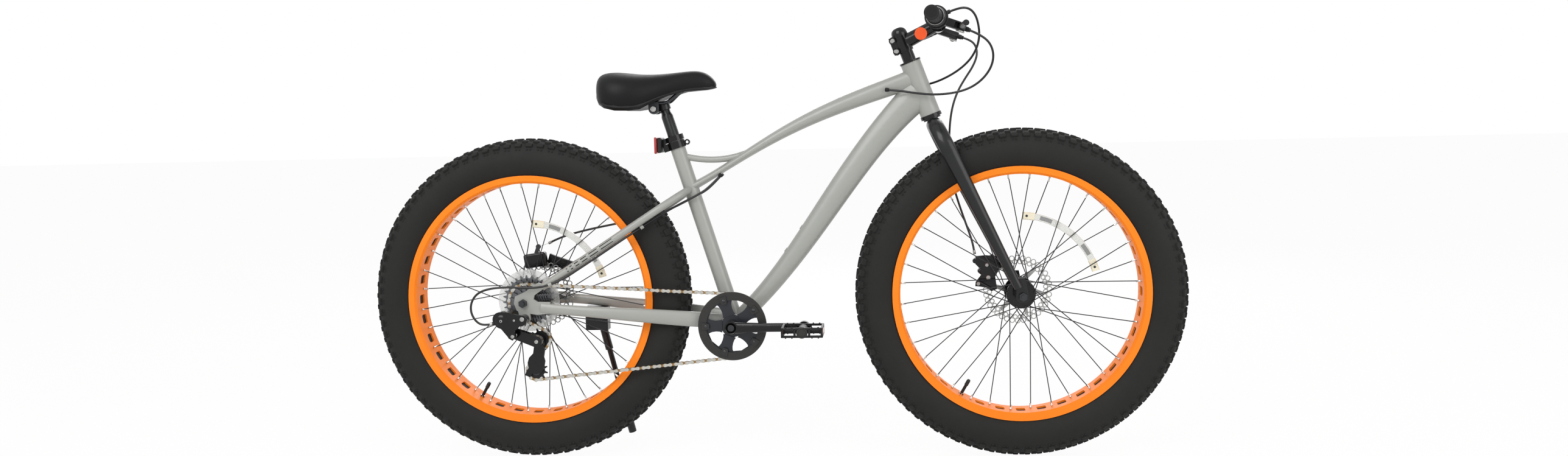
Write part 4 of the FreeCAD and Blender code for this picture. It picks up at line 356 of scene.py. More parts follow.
@dataclass
class Studio:
    """A plain pale floor, soft lamps and the camera of the photograph."""

    camera_place: tuple[float, float, float] = (0.275, -2.9, 0.78)
    yaw: float = 4.85
    pitch: float = -4.9
    roll: float = 1.33
    lens: float = 29.08
    sensor: float = 36.0
    floor_size: float = 60.0
    ambient: float = 0.5
    glow: float = 0.95

    def build(self) -> None:
        """Makes the floor, the light and the camera."""
        self.make_floor()
        self.make_world()
        self.make_lamp("key", (-1.6, -3.2, 3.0), 2.6, 95.0)
        self.make_lamp("fill", (3.0, -2.4, 1.8), 2.4, 45.0)
        self.make_lamp("back", (0.4, 3.2, 2.6), 2.6, 60.0)
        self.make_camera()
        bpy.context.scene.view_settings.view_transform = "Standard"

    def seen(self, tree: bpy.types.NodeTree) -> bpy.types.NodeSocket:
        """Tells rays that show the background: from the camera, in metal or through clear plastic.

        Args:
            tree: The tree of the floor or the world.

        Returns:
            One for such a ray, nothing for others.
        """
        rays = add(tree, "ShaderNodeLightPath").outputs
        either = add(tree, "ShaderNodeMath", {0: rays["Is Camera Ray"], 1: rays["Is Glossy Ray"]},
                     operation="MAXIMUM")
        return add(tree, "ShaderNodeMath", {0: either.outputs[0], 1: rays["Is Transmission Ray"]},
                   operation="MAXIMUM").outputs[0]

    def make_floor(self) -> None:
        """A pale floor that keeps the object's shadow."""
        half = self.floor_size / 2
        mesh = bpy.data.meshes.new("floor")
        mesh.from_pydata([(-half, -half, 0), (half, -half, 0), (half, half, 0), (-half, half, 0)], [],
                         [(0, 1, 2, 3)])
        floor = put("floor", mesh)
        made = bpy.data.materials.new("pale_floor")
        made.use_nodes = True
        tree = made.node_tree
        tree.nodes.clear()
        matt = add(tree, "ShaderNodeBsdfDiffuse", {"Color": linear("#F2F2F0")})
        white = add(tree, "ShaderNodeEmission", {"Color": (1, 1, 1, 1), "Strength": 1.0})
        share = add(tree, "ShaderNodeMath", {0: self.seen(tree), 1: self.glow}, operation="MULTIPLY")
        both = add(tree, "ShaderNodeMixShader", {0: share.outputs[0], 1: matt.outputs[0],
                                                 2: white.outputs[0]})
        add(tree, "ShaderNodeOutputMaterial", {"Surface": both.outputs[0]})
        mesh.materials.append(made)

    def make_world(self) -> None:
        """Even light from all round, white where it is seen."""
        world = bpy.data.worlds.new("studio")
        world.use_nodes = True
        bpy.context.scene.world = world
        tree = world.node_tree
        tree.nodes.clear()
        strength = add(tree, "ShaderNodeMapRange", {"Value": self.seen(tree), "To Min": self.ambient,
                                                    "To Max": 1.0})
        light = add(tree, "ShaderNodeBackground", {"Color": (1, 1, 1, 1),
                                                   "Strength": strength.outputs["Result"]})
        add(tree, "ShaderNodeOutputWorld", {"Surface": light.outputs["Background"]})

    def make_lamp(self, name: str, place: tuple[float, float, float], size: float, watts: float) -> None:
        """Adds a soft lamp aimed at the middle of the bike.

        Args:
            name: The lamp's name.
            place: Where it stands.
            size: The side of its square face.
            watts: Its power.
        """
        lamp = bpy.data.lights.new(name, "AREA")
        lamp.size = size
        lamp.energy = watts
        stand = put(name, lamp)
        stand.location = place
        stand.rotation_euler = (Vector((0, 0, 0.5)) - Vector(place)).to_track_quat("-Z", "Y").to_euler()

    def make_camera(self) -> None:
        """The photograph's own viewpoint."""
        data = bpy.data.cameras.new("camera")
        data.lens = self.lens
        data.sensor_width = self.sensor
        camera = put("camera", data)
        turn = Matrix.Identity(4)
        for degrees, axis in ((self.yaw, "Z"), (self.pitch, "X"), (self.roll, "Y"), (90.0, "X")):
            turn = turn @ Matrix.Rotation(math.radians(degrees), 4, axis)
        camera.matrix_world = Matrix.Translation(self.camera_place) @ turn
        bpy.context.scene.camera = camera


class Shape:
    """A mesh in the making, in metres, from simple shop operations."""

    def __init__(self) -> None:
        """Starts empty."""
        self.bm = bmesh.new()

    def ring(self, points: Iterable[Vector]) -> list[bmesh.types.BMVert]:
        """Adds the corners of one cross-section.

        Args:
            points: The corners in order.

        Returns:
            The new vertices.
        """
        return [self.bm.verts.new(point) for point in points]

    def skin(self, rings: Sequence[Sequence[bmesh.types.BMVert]], endless: bool = False) -> None:
        """Joins neighbouring cross-sections with faces.

        Args:
            rings: Cross-sections with equal numbers of corners.
            endless: Whether the last one joins the first; otherwise both ends are closed.
        """
        pairs = list(zip(rings, rings[1:])) + ([(rings[-1], rings[0])] if endless else [])
        for low, high in pairs:
            for at, corner in enumerate(low):
                after = (at + 1) % len(low)
                self.bm.faces.new((corner, low[after], high[after], high[at]))
        if not endless:
            self.bm.faces.new(rings[0])
            self.bm.faces.new(rings[-1])

    def lathe(self, profile: Profile, frame: Matrix, steps: int = 32, closed: bool = False) -> None:
        """Turns a profile about the frame's Z axis.

        Args:
            profile: Pairs of radius and height in millimetres; an open one is closed with end faces.
            frame: Where the axis stands, in metres.
            steps: Corners per turn.
            closed: Whether the profile is a loop, as in a hollow ring.
        """
        rings = []
        turns = [2 * math.pi * step / steps for step in range(steps)]
        for radius, height in profile:
            corners = [Vector((radius * math.cos(turn), radius * math.sin(turn), height)) for turn in turns]
            rings.append(self.ring(frame @ (corner * MM) for corner in corners))
        self.skin(rings, endless=closed)

    def tube(self, points: Sequence[Vector], radii: Sequence[float], sides: int = 12,
             flat: float = 1.0, wide: Vector | None = None) -> None:
        """Sweeps a round or flattened section along points.

        Args:
            points: The middle line, in metres.
            radii: The section's radius at each point, in millimetres.
            sides: Corners of the section.
            flat: The section's height as a share of its width.
            wide: The direction of the section's width.
        """
        rings = []
        side = wide or (points[1] - points[0]).orthogonal()
        turns = [2 * math.pi * step / sides for step in range(sides)]
        for at, (point, radius) in enumerate(zip(points, radii)):
            ahead = (points[min(at + 1, len(points) - 1)] - points[max(at - 1, 0)]).normalized()
            side = (side - ahead * side.dot(ahead)).normalized()
            high = ahead.cross(side)
            section = [side * math.cos(turn) + high * (flat * math.sin(turn)) for turn in turns]
            rings.append(self.ring(point + corner * (radius * MM) for corner in section))
        self.skin(rings)

    def block(self, size: tuple[float, float, float], frame: Matrix, edge: float = 0.8,
              taper: float = 1.0) -> None:
        """Adds a block with chamfered upper and lower edges, centred on the frame.

        Args:
            size: Length, width and height in millimetres.
            frame: Where it stands.
            edge: The chamfer in millimetres.
            taper: The upper end's share of the lower end's size.
        """
        half = Vector(size) / 2
        rings = []
        for height, inset, share in ((-half.z, edge, 1.0), (-half.z + edge, 0.0, 1.0),
                                     (half.z - edge, 0.0, taper), (half.z, edge, taper)):
            x, y = half.x * share - inset, half.y * share - inset
            cut = min(edge, x / 3, y / 3)
            outline = ((x - cut, -y), (x, -y + cut), (x, y - cut), (x - cut, y), (-x + cut, y), (-x, y - cut),
                       (-x, -y + cut), (-x + cut, -y))
            rings.append(self.ring(frame @ (Vector((a, b, height)) * MM) for a, b in outline))
        self.skin(rings)

    def plate(self, outline: Profile, frame: Matrix, thickness: float) -> None:
        """Extrudes a flat outline both ways from the frame's XY plane.

        Args:
            outline: The corners in order, in millimetres.
            frame: Where it lies.
            thickness: The whole thickness in millimetres.
        """
        rings = [self.ring(frame @ (Vector((a, b, level)) * MM) for a, b in outline)
                 for level in (-thickness / 2, thickness / 2)]
        self.skin(rings)

    def arc_bar(self, frame: Matrix, radius: float, width: float, thickness: float, start: float, end: float,
                edge: float = 0.8) -> None:
        """Bends a chamfered bar round the frame's Z axis.

        Args:
            frame: Where the axis stands.
            radius: The bar's middle radius in millimetres.
            width: Its size along the radius.
            thickness: Its size along the axis.
            start: The angle of its first end, in degrees from the frame's X.
            end: The angle of its last end.
            edge: The chamfer in millimetres.
        """
        across, high = width / 2, thickness / 2
        section = ((across - edge, -high), (across, edge - high), (across, high - edge),
                   (across - edge, high), (edge - across, high), (-across, high - edge),
                   (-across, edge - high), (edge - across, -high))
        count = max(2, round(abs(end - start) / 4))
        rings = []
        for step in range(count + 1):
            turn = math.radians(start + (end - start) * step / count)
            out = Vector((math.cos(turn), math.sin(turn), 0))
            corners = [out * (radius + side) + UP * level for side, level in section]
            rings.append(self.ring(frame @ (corner * MM) for corner in corners))
        self.skin(rings)

    def socket_bolt(self, frame: Matrix, radius: float, height: float) -> None:
        """Adds a round bolt head with a hexagon socket, seated on the frame's XY plane.

        Args:
            frame: The seat, with Z out of the head.
            radius: The head's radius in millimetres.
            height: The head's height in millimetres.
        """
        steps = 24
        key, chamfer = 0.55 * radius, 0.16 * radius
        turns = [2 * math.pi * step / steps for step in range(steps)]
        flats = [math.cos(math.pi / 6) / math.cos((turn % (math.pi / 3)) - math.pi / 6) for turn in turns]
        rings = []
        for size, level, hexagon in ((radius, -0.4, False), (radius, height - chamfer, False),
                                     (radius - chamfer, height, False), (key, height, True),
                                     (key, 0.3 * height, True)):
            reaches = [size * (flat if hexagon else 1.0) * MM for flat in flats]
            rings.append(self.ring(
                frame @ (Vector((math.cos(turn), math.sin(turn), 0)) * reach + UP * (level * MM))
                for turn, reach in zip(turns, reaches)))
        self.skin(rings)

    def mesh(self, name: str, sharp: float = 35.0) -> bpy.types.Mesh:
        """Closes the work: outward faces, smooth shading and sharp edges.

        Args:
            name: The mesh's name.
            sharp: The angle above which an edge stays sharp, in degrees.

        Returns:
            The finished mesh.
        """
        bmesh.ops.recalc_face_normals(self.bm, faces=self.bm.faces)
        made = bpy.data.meshes.new(name)
        self.bm.to_mesh(made)
        self.bm.free()
        made.shade_smooth()
        made.set_sharp_from_angle(angle=math.radians(sharp))
        return made


def frame_at(place: Vector, axis: Vector, ahead: Vector | None = None) -> Matrix:
    """A frame with its Z along an axis.

    Args:
        place: The origin, in metres.
        axis: The direction of Z.
        ahead: Roughly the direction of X.

    Returns:
        The frame's matrix.
    """
    z = axis.normalized()
    guide = ahead or z.orthogonal()
    x = (guide - z * guide.dot(z)).normalized()
    y = z.cross(x)
    return Matrix.Translation(place) @ Matrix((x, y, z)).transposed().to_4x4()


def joined(name: str, *parts: bpy.types.Mesh, sharp: float = 32.0) -> bpy.types.Mesh:
    """Puts several meshes together in one.

    Args:
        name: The new mesh's name.
        parts: The meshes, in place.
        sharp: The angle above which an edge stays sharp, in degrees.

    Returns:
        The joined mesh.
    """
    work = bmesh.new()
    for part in parts:
        work.from_mesh(part)
    made = bpy.data.meshes.new(name)
    work.to_mesh(made)
    work.free()
    made.shade_smooth()
    made.set_sharp_from_angle(angle=math.radians(sharp))
    return made


def piece(name: str, mesh: bpy.types.Mesh, finish: Finish, body: Body | None, slot: str,
          *nodes: str) -> bpy.types.Object:
    """Makes a piece from its mesh, with a finish, a body to ride on and the nodes that it stands for.

    Args:
        name: The piece's name.
        mesh: Its mesh, in place.
        finish: Its surface.
        body: The body that carries it, or None where it is attached later or rides on no body.
        slot: The record's material slot; not used.
        nodes: CAD nodes that it replaces.

    Returns:
        The new object.
    """
    if not mesh.materials:
        mesh.materials.append(finish.material())
    made = put(name, mesh)
    if body is not None:
        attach(made, body.value)
    if nodes:
        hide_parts(*nodes)
    LOG.info("%s: %d faces", name, len(mesh.polygons))
    return made


class Repeats:
    """Geometry Nodes trees that repeat one shape, kept for reuse."""

    def __init__(self) -> None:
        """Builds both trees."""
        self.axle_tree = self.round_tree()
        self.path_tree = self.chain_tree()

    def new_tree(self, name: str, inputs: dict[str, str]) -> bpy.types.NodeTree:
        """Starts a tree that takes a shape and a finish and gives the dressed copies.

        Args:
            name: The tree's name.
            inputs: Kinds of its other sockets, by name.

        Returns:
            The tree with its sockets.
        """
        tree = bpy.data.node_groups.new(name, "GeometryNodeTree")
        sockets = {"Shape": "NodeSocketGeometry", **inputs, "Finish": "NodeSocketMaterial"}
        for label, kind in sockets.items():
            tree.interface.new_socket(label, in_out="INPUT", socket_type=kind)
        tree.interface.new_socket("Copies", in_out="OUTPUT", socket_type="NodeSocketGeometry")
        return tree

    def set_copies(self, tree: bpy.types.NodeTree, given: bpy.types.NodeOutputs, points: bpy.types.NodeSocket,
                   spin: bpy.types.NodeSocket) -> None:
        """Ends a tree: a copy on every point, made real and dressed.

        Args:
            tree: The tree.
            given: The tree's inputs.
            points: Where the copies go.
            spin: How each one is turned.
        """
        copies = add(tree, "GeometryNodeInstanceOnPoints", {"Points": points, "Instance": given["Shape"],
                                                            "Rotation": spin})
        whole = add(tree, "GeometryNodeRealizeInstances", {"Geometry": copies.outputs[0]})
        dressed = add(tree, "GeometryNodeSetMaterial", {"Geometry": whole.outputs[0],
                                                        "Material": given["Finish"]})
        add(tree, "NodeGroupOutput", {"Copies": dressed.outputs[0]})

    def round_tree(self) -> bpy.types.NodeTree:
        """Builds the tree of copies round an axis.

        Returns:
            The tree.
        """
        tree = self.new_tree("copies_round_axle", {"Count": "NodeSocketInt", "First": "NodeSocketFloat"})
        given = add(tree, "NodeGroupInput").outputs
        points = add(tree, "GeometryNodePoints", {"Count": given["Count"]})
        step = add(tree, "ShaderNodeMath", {0: 2 * math.pi, 1: given["Count"]}, operation="DIVIDE")
        place = add(tree, "GeometryNodeInputIndex")
        turn = add(tree, "ShaderNodeMath", {0: place.outputs[0], 1: step.outputs[0], 2: given["First"]},
                   operation="MULTIPLY_ADD")
        euler = add(tree, "ShaderNodeCombineXYZ", {"Y": turn.outputs[0]})
        spin = add(tree, "FunctionNodeEulerToRotation", {"Euler": euler.outputs[0]})
        self.set_copies(tree, given, points.outputs[0], spin.outputs[0])
        return tree

    def chain_tree(self) -> bpy.types.NodeTree:
        """Builds the tree of copies along a closed path.

        Returns:
            The tree.
        """
        tree = self.new_tree("copies_along_path", {"Path": "NodeSocketObject", "Count": "NodeSocketInt"})
        given = add(tree, "NodeGroupInput").outputs
        path = add(tree, "GeometryNodeObjectInfo", {"Object": given["Path"]})
        points = add(tree, "GeometryNodeCurveToPoints", {
            "Curve": path.outputs["Geometry"], "Count": given["Count"]}, mode="COUNT")
        spin = add(tree, "FunctionNodeAlignRotationToVector", {"Vector": points.outputs["Tangent"]},
                   axis="X", pivot_axis="Y")
        self.set_copies(tree, given, points.outputs["Points"], spin.outputs[0])
        return tree

    def run(self, shape: bpy.types.Mesh, tree: bpy.types.NodeTree, values: dict[str, Any]) -> bpy.types.Mesh:
        """Runs a tree on a shape.

        Args:
            shape: The shape to repeat.
            tree: The tree.
            values: The tree's inputs by name.

        Returns:
            One mesh of all the copies.
        """
        holder = put("repeat_holder", shape)
        modifier = holder.modifiers.new("copies", "NODES")
        modifier.node_group = tree
        for name, value in values.items():
            modifier[tree.interface.items_tree[name].identifier] = value
        depsgraph = bpy.context.evaluated_depsgraph_get()
        made = bpy.data.meshes.new_from_object(holder.evaluated_get(depsgraph))
        bpy.data.objects.remove(holder)
        return made

    def round_axle(self, shape: bpy.types.Mesh, count: int, place: Matrix, finish: Finish,
                   first: float = 0.0) -> bpy.types.Mesh:
        """Repeats a shape round an axis along Y.

        Args:
            shape: The shape, placed as the first copy, about the origin.
            count: How many copies go round.
            place: Where the axis stands.
            finish: The copies' surface.
            first: The first copy's turn in degrees.

        Returns:
            One mesh of all the copies, in place.
        """
        made = self.run(shape, self.axle_tree, {"Count": count, "First": math.radians(first),
                                                "Finish": finish.material()})
        made.transform(place)
        return made

    def along_path(self, shape: bpy.types.Mesh, count: int, points: Sequence[Vector],
                   finish: Finish) -> bpy.types.Mesh:
        """Repeats a shape at even steps along a closed path in an upright plane.

        Args:
            shape: One copy about the origin, with X along the path.
            count: How many copies.
            points: The path's corners.
            finish: The copies' surface.

        Returns:
            One mesh of all the copies.
        """
        data = bpy.data.curves.new("repeat_path", "CURVE")
        data.dimensions = "3D"
        spline = data.splines.new("POLY")
        spline.points.add(len(points) - 1)
        for corner, point in zip(spline.points, points):
            corner.co = (*point, 1.0)
        spline.use_cyclic_u = True
        path = put("repeat_path", data)
        made = self.run(shape, self.path_tree, {"Path": path, "Count": count, "Finish": finish.material()})
        bpy.data.objects.remove(path)
        return made


def arc_through(first: tuple[float, float], middle: tuple[float, float], last: tuple[float, float],
                count: int) -> list[tuple[float, float]]:
    """Points on the circle through three points.

    Args:
        first: Where the arc starts.
        middle: A point on the way.
        last: Where it ends.
        count: How many points, both ends included.

    Returns:
        The points in order.
    """
    a, b, c = (complex(*point) for point in (first, middle, last))
    w = (c - a) / (b - a)
    centre = a + (b - a) * (w - abs(w) ** 2) / (2j * w.imag)
    start, end = a - centre, c - centre
    swing = math.atan2((end / start).imag, (end / start).real)
    through = math.atan2(((b - centre) / start).imag, ((b - centre) / start).real)
    if through * swing < 0 or abs(through) > abs(swing):
        swing -= math.copysign(2 * math.pi, swing)
    steps = [start * complex(math.cos(swing * at / (count - 1)), math.sin(swing * at / (count - 1))) + centre
             for at in range(count)]
    return [(step.real, step.imag) for step in steps]


@dataclass
class Tyre:
    """A knobby high-volume tyre, in millimetres about its axle."""

    label: str
    node: str
    body: Body
    centre: Vector
    crown: float = 371.0
    half_width: float = 49.0
    bulge: float = 326.0
    shoulder: tuple[float, float] = (34.0, 361.5)
    bead: tuple[float, float] = (36.8, 290.5)
    wall: float = 4.0
    pitches: int = 86

    def build(self, repeats: Repeats) -> None:
        """Makes the casing and its lugs as one piece.

        Args:
            repeats: The trees that repeat shapes.
        """
        axle = frame_at(self.centre, LEFT)
        casing = Shape()
        casing.lathe(self.casing_profile(), axle, 192, closed=True)
        lugs = repeats.round_axle(self.pitch_of_tread(), self.pitches, Matrix.Translation(self.centre),
                                  TYRE_RUBBER)
        mesh = joined(f"{self.label}_tread", casing.mesh(f"{self.label}_casing"), lugs)
        piece(f"{self.label}_tread", mesh, TYRE_RUBBER, self.body, "tyre_rubber", self.node)

    def casing_profile(self) -> list[tuple[float, float]]:
        """The casing's section.

        Returns:
            A closed loop of radius and side.
        """
        side, top = self.shoulder
        foot, low = self.bead
        right = arc_through((-foot, low), (-self.half_width, self.bulge), (-side, top), 15)
        crown = arc_through((-side, top), (0, self.crown), (side, top), 13)
        left = [(-at, radius) for at, radius in reversed(right)]
        outer = [(-foot, low - 8)] + right + crown[1:-1] + left + [(foot, low - 8)]
        inner = [(at * (1 - self.wall / self.half_width), radius - (self.wall if abs(at) < side else 1.0))
                 for at, radius in reversed(outer)]
        return [(radius, at) for at, radius in outer + inner]

    def pitch_of_tread(self) -> bpy.types.Mesh:
        """One pitch of the tread, at the top of the wheel: three rows of lugs a side and sidewall nubs.

        Returns:
            The mesh about the axle.
        """
        tile = Shape()
        half_step = math.pi / self.pitches
        for sign, turn in ((1, 0.0), (-1, half_step)):
            for length, width, high, across, radius, lean, shift in (
                    (15.0, 12.5, 8.0, 8.5, 370.5, 0.0, 0.0), (14.0, 11.0, 8.0, 24.0, 366.6, 16.0, half_step),
                    (17.0, 12.0, 9.5, 36.6, 358.3, 40.0, 0.0), (4.0, 4.6, 3.6, 43.2, 349.4, 62.0, 0.011),
                    (4.0, 4.6, 3.6, 43.2, 349.4, 62.0, -0.011)):
                tilt = Matrix.Rotation(math.radians(-lean * sign), 4, "X")
                stand = Matrix.Translation(Vector((0, across * sign, radius)) * MM) @ tilt
                tile.block((length, width, high), Matrix.Rotation(turn + shift, 4, "Y") @ stand, 1.1, 0.84)
        return tile.mesh("tread_pitch")


@dataclass(frozen=True)
class Cable:
    """A cable housing on its route, in millimetres, with its real length in metres.

    One that crosses a joint has `other` set, and is laid as a plain tube that rides on no body.
    """

    name: str
    node: str
    body: Body
    length: float
    route: tuple[tuple[float, float, float], ...]
    other: Body | None = None
    radius: float = 2.5

    def build(self) -> None:
        """Lays the cable; one that crosses a joint is laid as a plain tube on no body."""
        line = self.line(0.0 if self.other else self.radius * MM)
        if not self.other:
            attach(line, self.body.value)
            self.declare()
            return
        depsgraph = bpy.context.evaluated_depsgraph_get()
        wire = bpy.data.meshes.new_from_object(line.evaluated_get(depsgraph))
        points = [vertex.co.copy() for vertex in wire.vertices]
        bpy.data.objects.remove(line)
        tube = Shape()
        tube.tube(points, [self.radius] * len(points))
        housing = piece(self.name, tube.mesh(f"{self.name}_tube"), CABLE_PLASTIC, None, "black_plastic")
        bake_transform(housing)
        self.declare()

    def line(self, bevel: float) -> bpy.types.Object:
        """The route as a smooth curve.

        Args:
            bevel: The housing's radius in metres, or nothing for a bare line.

        Returns:
            The curve's object.
        """
        data = bpy.data.curves.new(self.name, "CURVE")
        data.dimensions = "3D"
        data.resolution_u = 10
        data.bevel_depth = bevel
        data.bevel_resolution = 4
        data.use_fill_caps = bevel > 0
        spline = data.splines.new("NURBS")
        spline.points.add(len(self.route) - 1)
        for point, place in zip(spline.points, self.route):
            point.co = (*(value * MM for value in place), 1.0)
        spline.order_u = 3
        spline.use_endpoint_u = True
        data.materials.append(CABLE_PLASTIC.material())
        return put(self.name, data)

    def declare(self) -> None:
        """Hides the node that the housing stands for, and logs the housing.
        """
        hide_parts(self.node)
        LOG.info("%s: cable housing", self.name)


BAR_EXIT = ((450.6, -128.92, 961.09), (467.41, -119.98, 954.97))
CABLES = (
    Cable("brake_lead", "steering_leads", Body.FRAME, 0.373, BAR_EXIT + (
        (493, -109, 938), (504, -96, 912), (500, -80, 884), (481, -66, 857), (452, -53, 838), (415, -43, 829),
        (373, -37, 827), (332, -33, 832), (299, -29, 838), (270, -21.6, 841)), other=Body.STEERING),
    Cable("shift_lead", "steering_leads", Body.FRAME, 0.436, (
        (406.40, -182.37, 998.66), (427.07, -182.37, 1006.18), (447, -173, 1005), (461, -152, 993),
        (469, -126, 974), (473, -100, 951), (469, -76, 927), (457, -50, 904), (436, -25, 884), (408, 2, 867),
        (375, 25, 854), (338, 32, 848), (303, 29, 845), (272, 21.6, 843)), other=Body.STEERING),
    Cable("front_brake_housing", "front_brake_cable", Body.STEERING, 0.545, (
        (450.6, 128.92, 961.09), (467.41, 119.98, 954.97), (480, 114, 940), (482, 110, 918), (471, 108, 892),
        (453, 106, 866), (436, 103, 838), (424, 99, 807), (417, 96, 772), (414, 94, 733), (413, 92, 692),
        (416, 90, 652), (423, 89, 612), (434, 87, 574), (446, 83, 538), (457, 77, 506), (465, 71, 480),
        (468, 68, 459))),
    Cable("shift_housing", "frame_cables", Body.FRAME, 0.748, (
        (-112, -11, 657.2), (-140, -18, 628), (-167, -25, 611), (-197, -31, 597), (-230, -43, 580),
        (-264, -58, 560), (-300, -71, 537), (-340, -79, 512), (-388, -82, 481), (-434, -84, 452),
        (-474, -89, 428), (-510, -98, 414), (-548, -104, 411), (-590, -107, 415), (-634, -109, 413),
        (-665, -109, 403), (-681, -109, 382), (-683, -109, 358), (-672, -109, 337),
        (-654.63, -109.2, 327.31), (-632.96, -109.2, 331.13))),
    Cable("rear_brake_housing", "frame_cables", Body.FRAME, 0.476, (
        (-112, 11, 657.2), (-140, 18, 628), (-167, 25, 611), (-197, 32, 597), (-230, 46, 581),
        (-264, 56, 567), (-304, 58, 556), (-350, 59, 547), (-398, 63, 538), (-444, 69, 529),
        (-486, 75, 519), (-522, 79, 508), (-545, 80, 497))),
)


@dataclass
class Saddle:
    """A foam saddle under a tight vinyl cover, on its moulded base; sizes in millimetres."""

    stations: tuple[tuple[float, float, float, float], ...] = (
        (-393, 22, 866, 846), (-390, 46, 881, 837), (-382, 68, 891, 826), (-368, 82, 896, 818),
        (-342, 92, 897, 812), (-312, 90, 893.5, 811), (-286, 80, 890, 814), (-255, 64, 889.5, 830),
        (-225, 50, 891, 842), (-190, 39, 894.5, 851), (-162, 32, 896.5, 853), (-142, 26, 891, 854),
        (-127, 18, 879, 856), (-119, 9, 866, 858))
    section: Profile = (
        (0.0, 0.12), (0.5, 0.09), (0.84, 0.0), (0.95, 0.1), (1.0, 0.34), (0.97, 0.58), (0.85, 0.8),
        (0.62, 0.94), (0.32, 0.995), (0.0, 0.985))
    base: Profile = ((0.0, 0.06), (0.5, 0.03), (0.8, -0.02), (0.9, 0.06), (0.9, 0.2), (0.5, 0.26),
                     (0.0, 0.26))

    def build(self) -> None:
        """Makes the cover and the base that shows below it."""
        cover = self.loft(self.section, 0.0)
        cushion = piece("saddle_cover", cover.mesh("saddle_cover", 180.0), SADDLE_VINYL, None,
                        "saddle_cover", "saddle")
        smooth = cushion.modifiers.new("smooth", "SUBSURF")
        smooth.levels = smooth.render_levels = 2
        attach(cushion, Body.SEAT.value)
        base = self.loft(self.base, 2.0)
        piece("saddle_base", base.mesh("saddle_base"), BLACK_PLASTIC, Body.SEAT, "black_plastic")

    def loft(self, section: Profile, drop: float) -> Shape:
        """Skins the saddle's cross-sections from tail to nose.

        Args:
            section: The right half's outline from the middle of the underside to the crown, as shares.
            drop: How far the whole form sinks.

        Returns:
            The closed form.
        """
        made = Shape()
        rings = []
        for x, half, top, bottom in self.stations:
            right = [(-side, level) for side, level in section]
            outline = right + [(-side, level) for side, level in reversed(right[1:-1])]
            rings.append(made.ring(Vector((x, side * half, bottom + level * (top - bottom) - drop)) * MM
                                   for side, level in outline))
        made.skin(rings)
        return made


def link_outline(pitch: float, end: float, waist: float) -> list[tuple[float, float]]:
    """The waisted outline of a chain plate.

    Args:
        pitch: The distance between its pins, in millimetres.
        end: The radius of its ends.
        waist: Half its height in the middle.

    Returns:
        The corners in order.
    """
    turns = [math.radians(-105 + 30 * step) for step in range(8)]
    right = [(pitch / 2 + end * math.cos(turn), end * math.sin(turn)) for turn in turns]
    left = [(-x, -y) for x, y in right]
    return right + [(0.0, waist)] + left + [(0.0, -waist)]


def kept_copies(mesh: bpy.types.Mesh, kept: Sequence[bool]) -> bpy.types.Mesh:
    """Keeps some of the copies in a mesh of repeats.

    Args:
        mesh: The mesh of all the copies, in order.
        kept: Whether each copy stays.

    Returns:
        A new mesh.
    """
    part = mesh.copy()
    size = len(mesh.vertices) // len(kept)
    cut = bmesh.new()
    cut.from_mesh(mesh)
    bmesh.ops.delete(cut, geom=[corner for corner in cut.verts if not kept[corner.index // size]],
                     context="VERTS")
    cut.to_mesh(part)
    cut.free()
    return part


ChainRun = tuple[str, Body, Body, Vector, Vector]


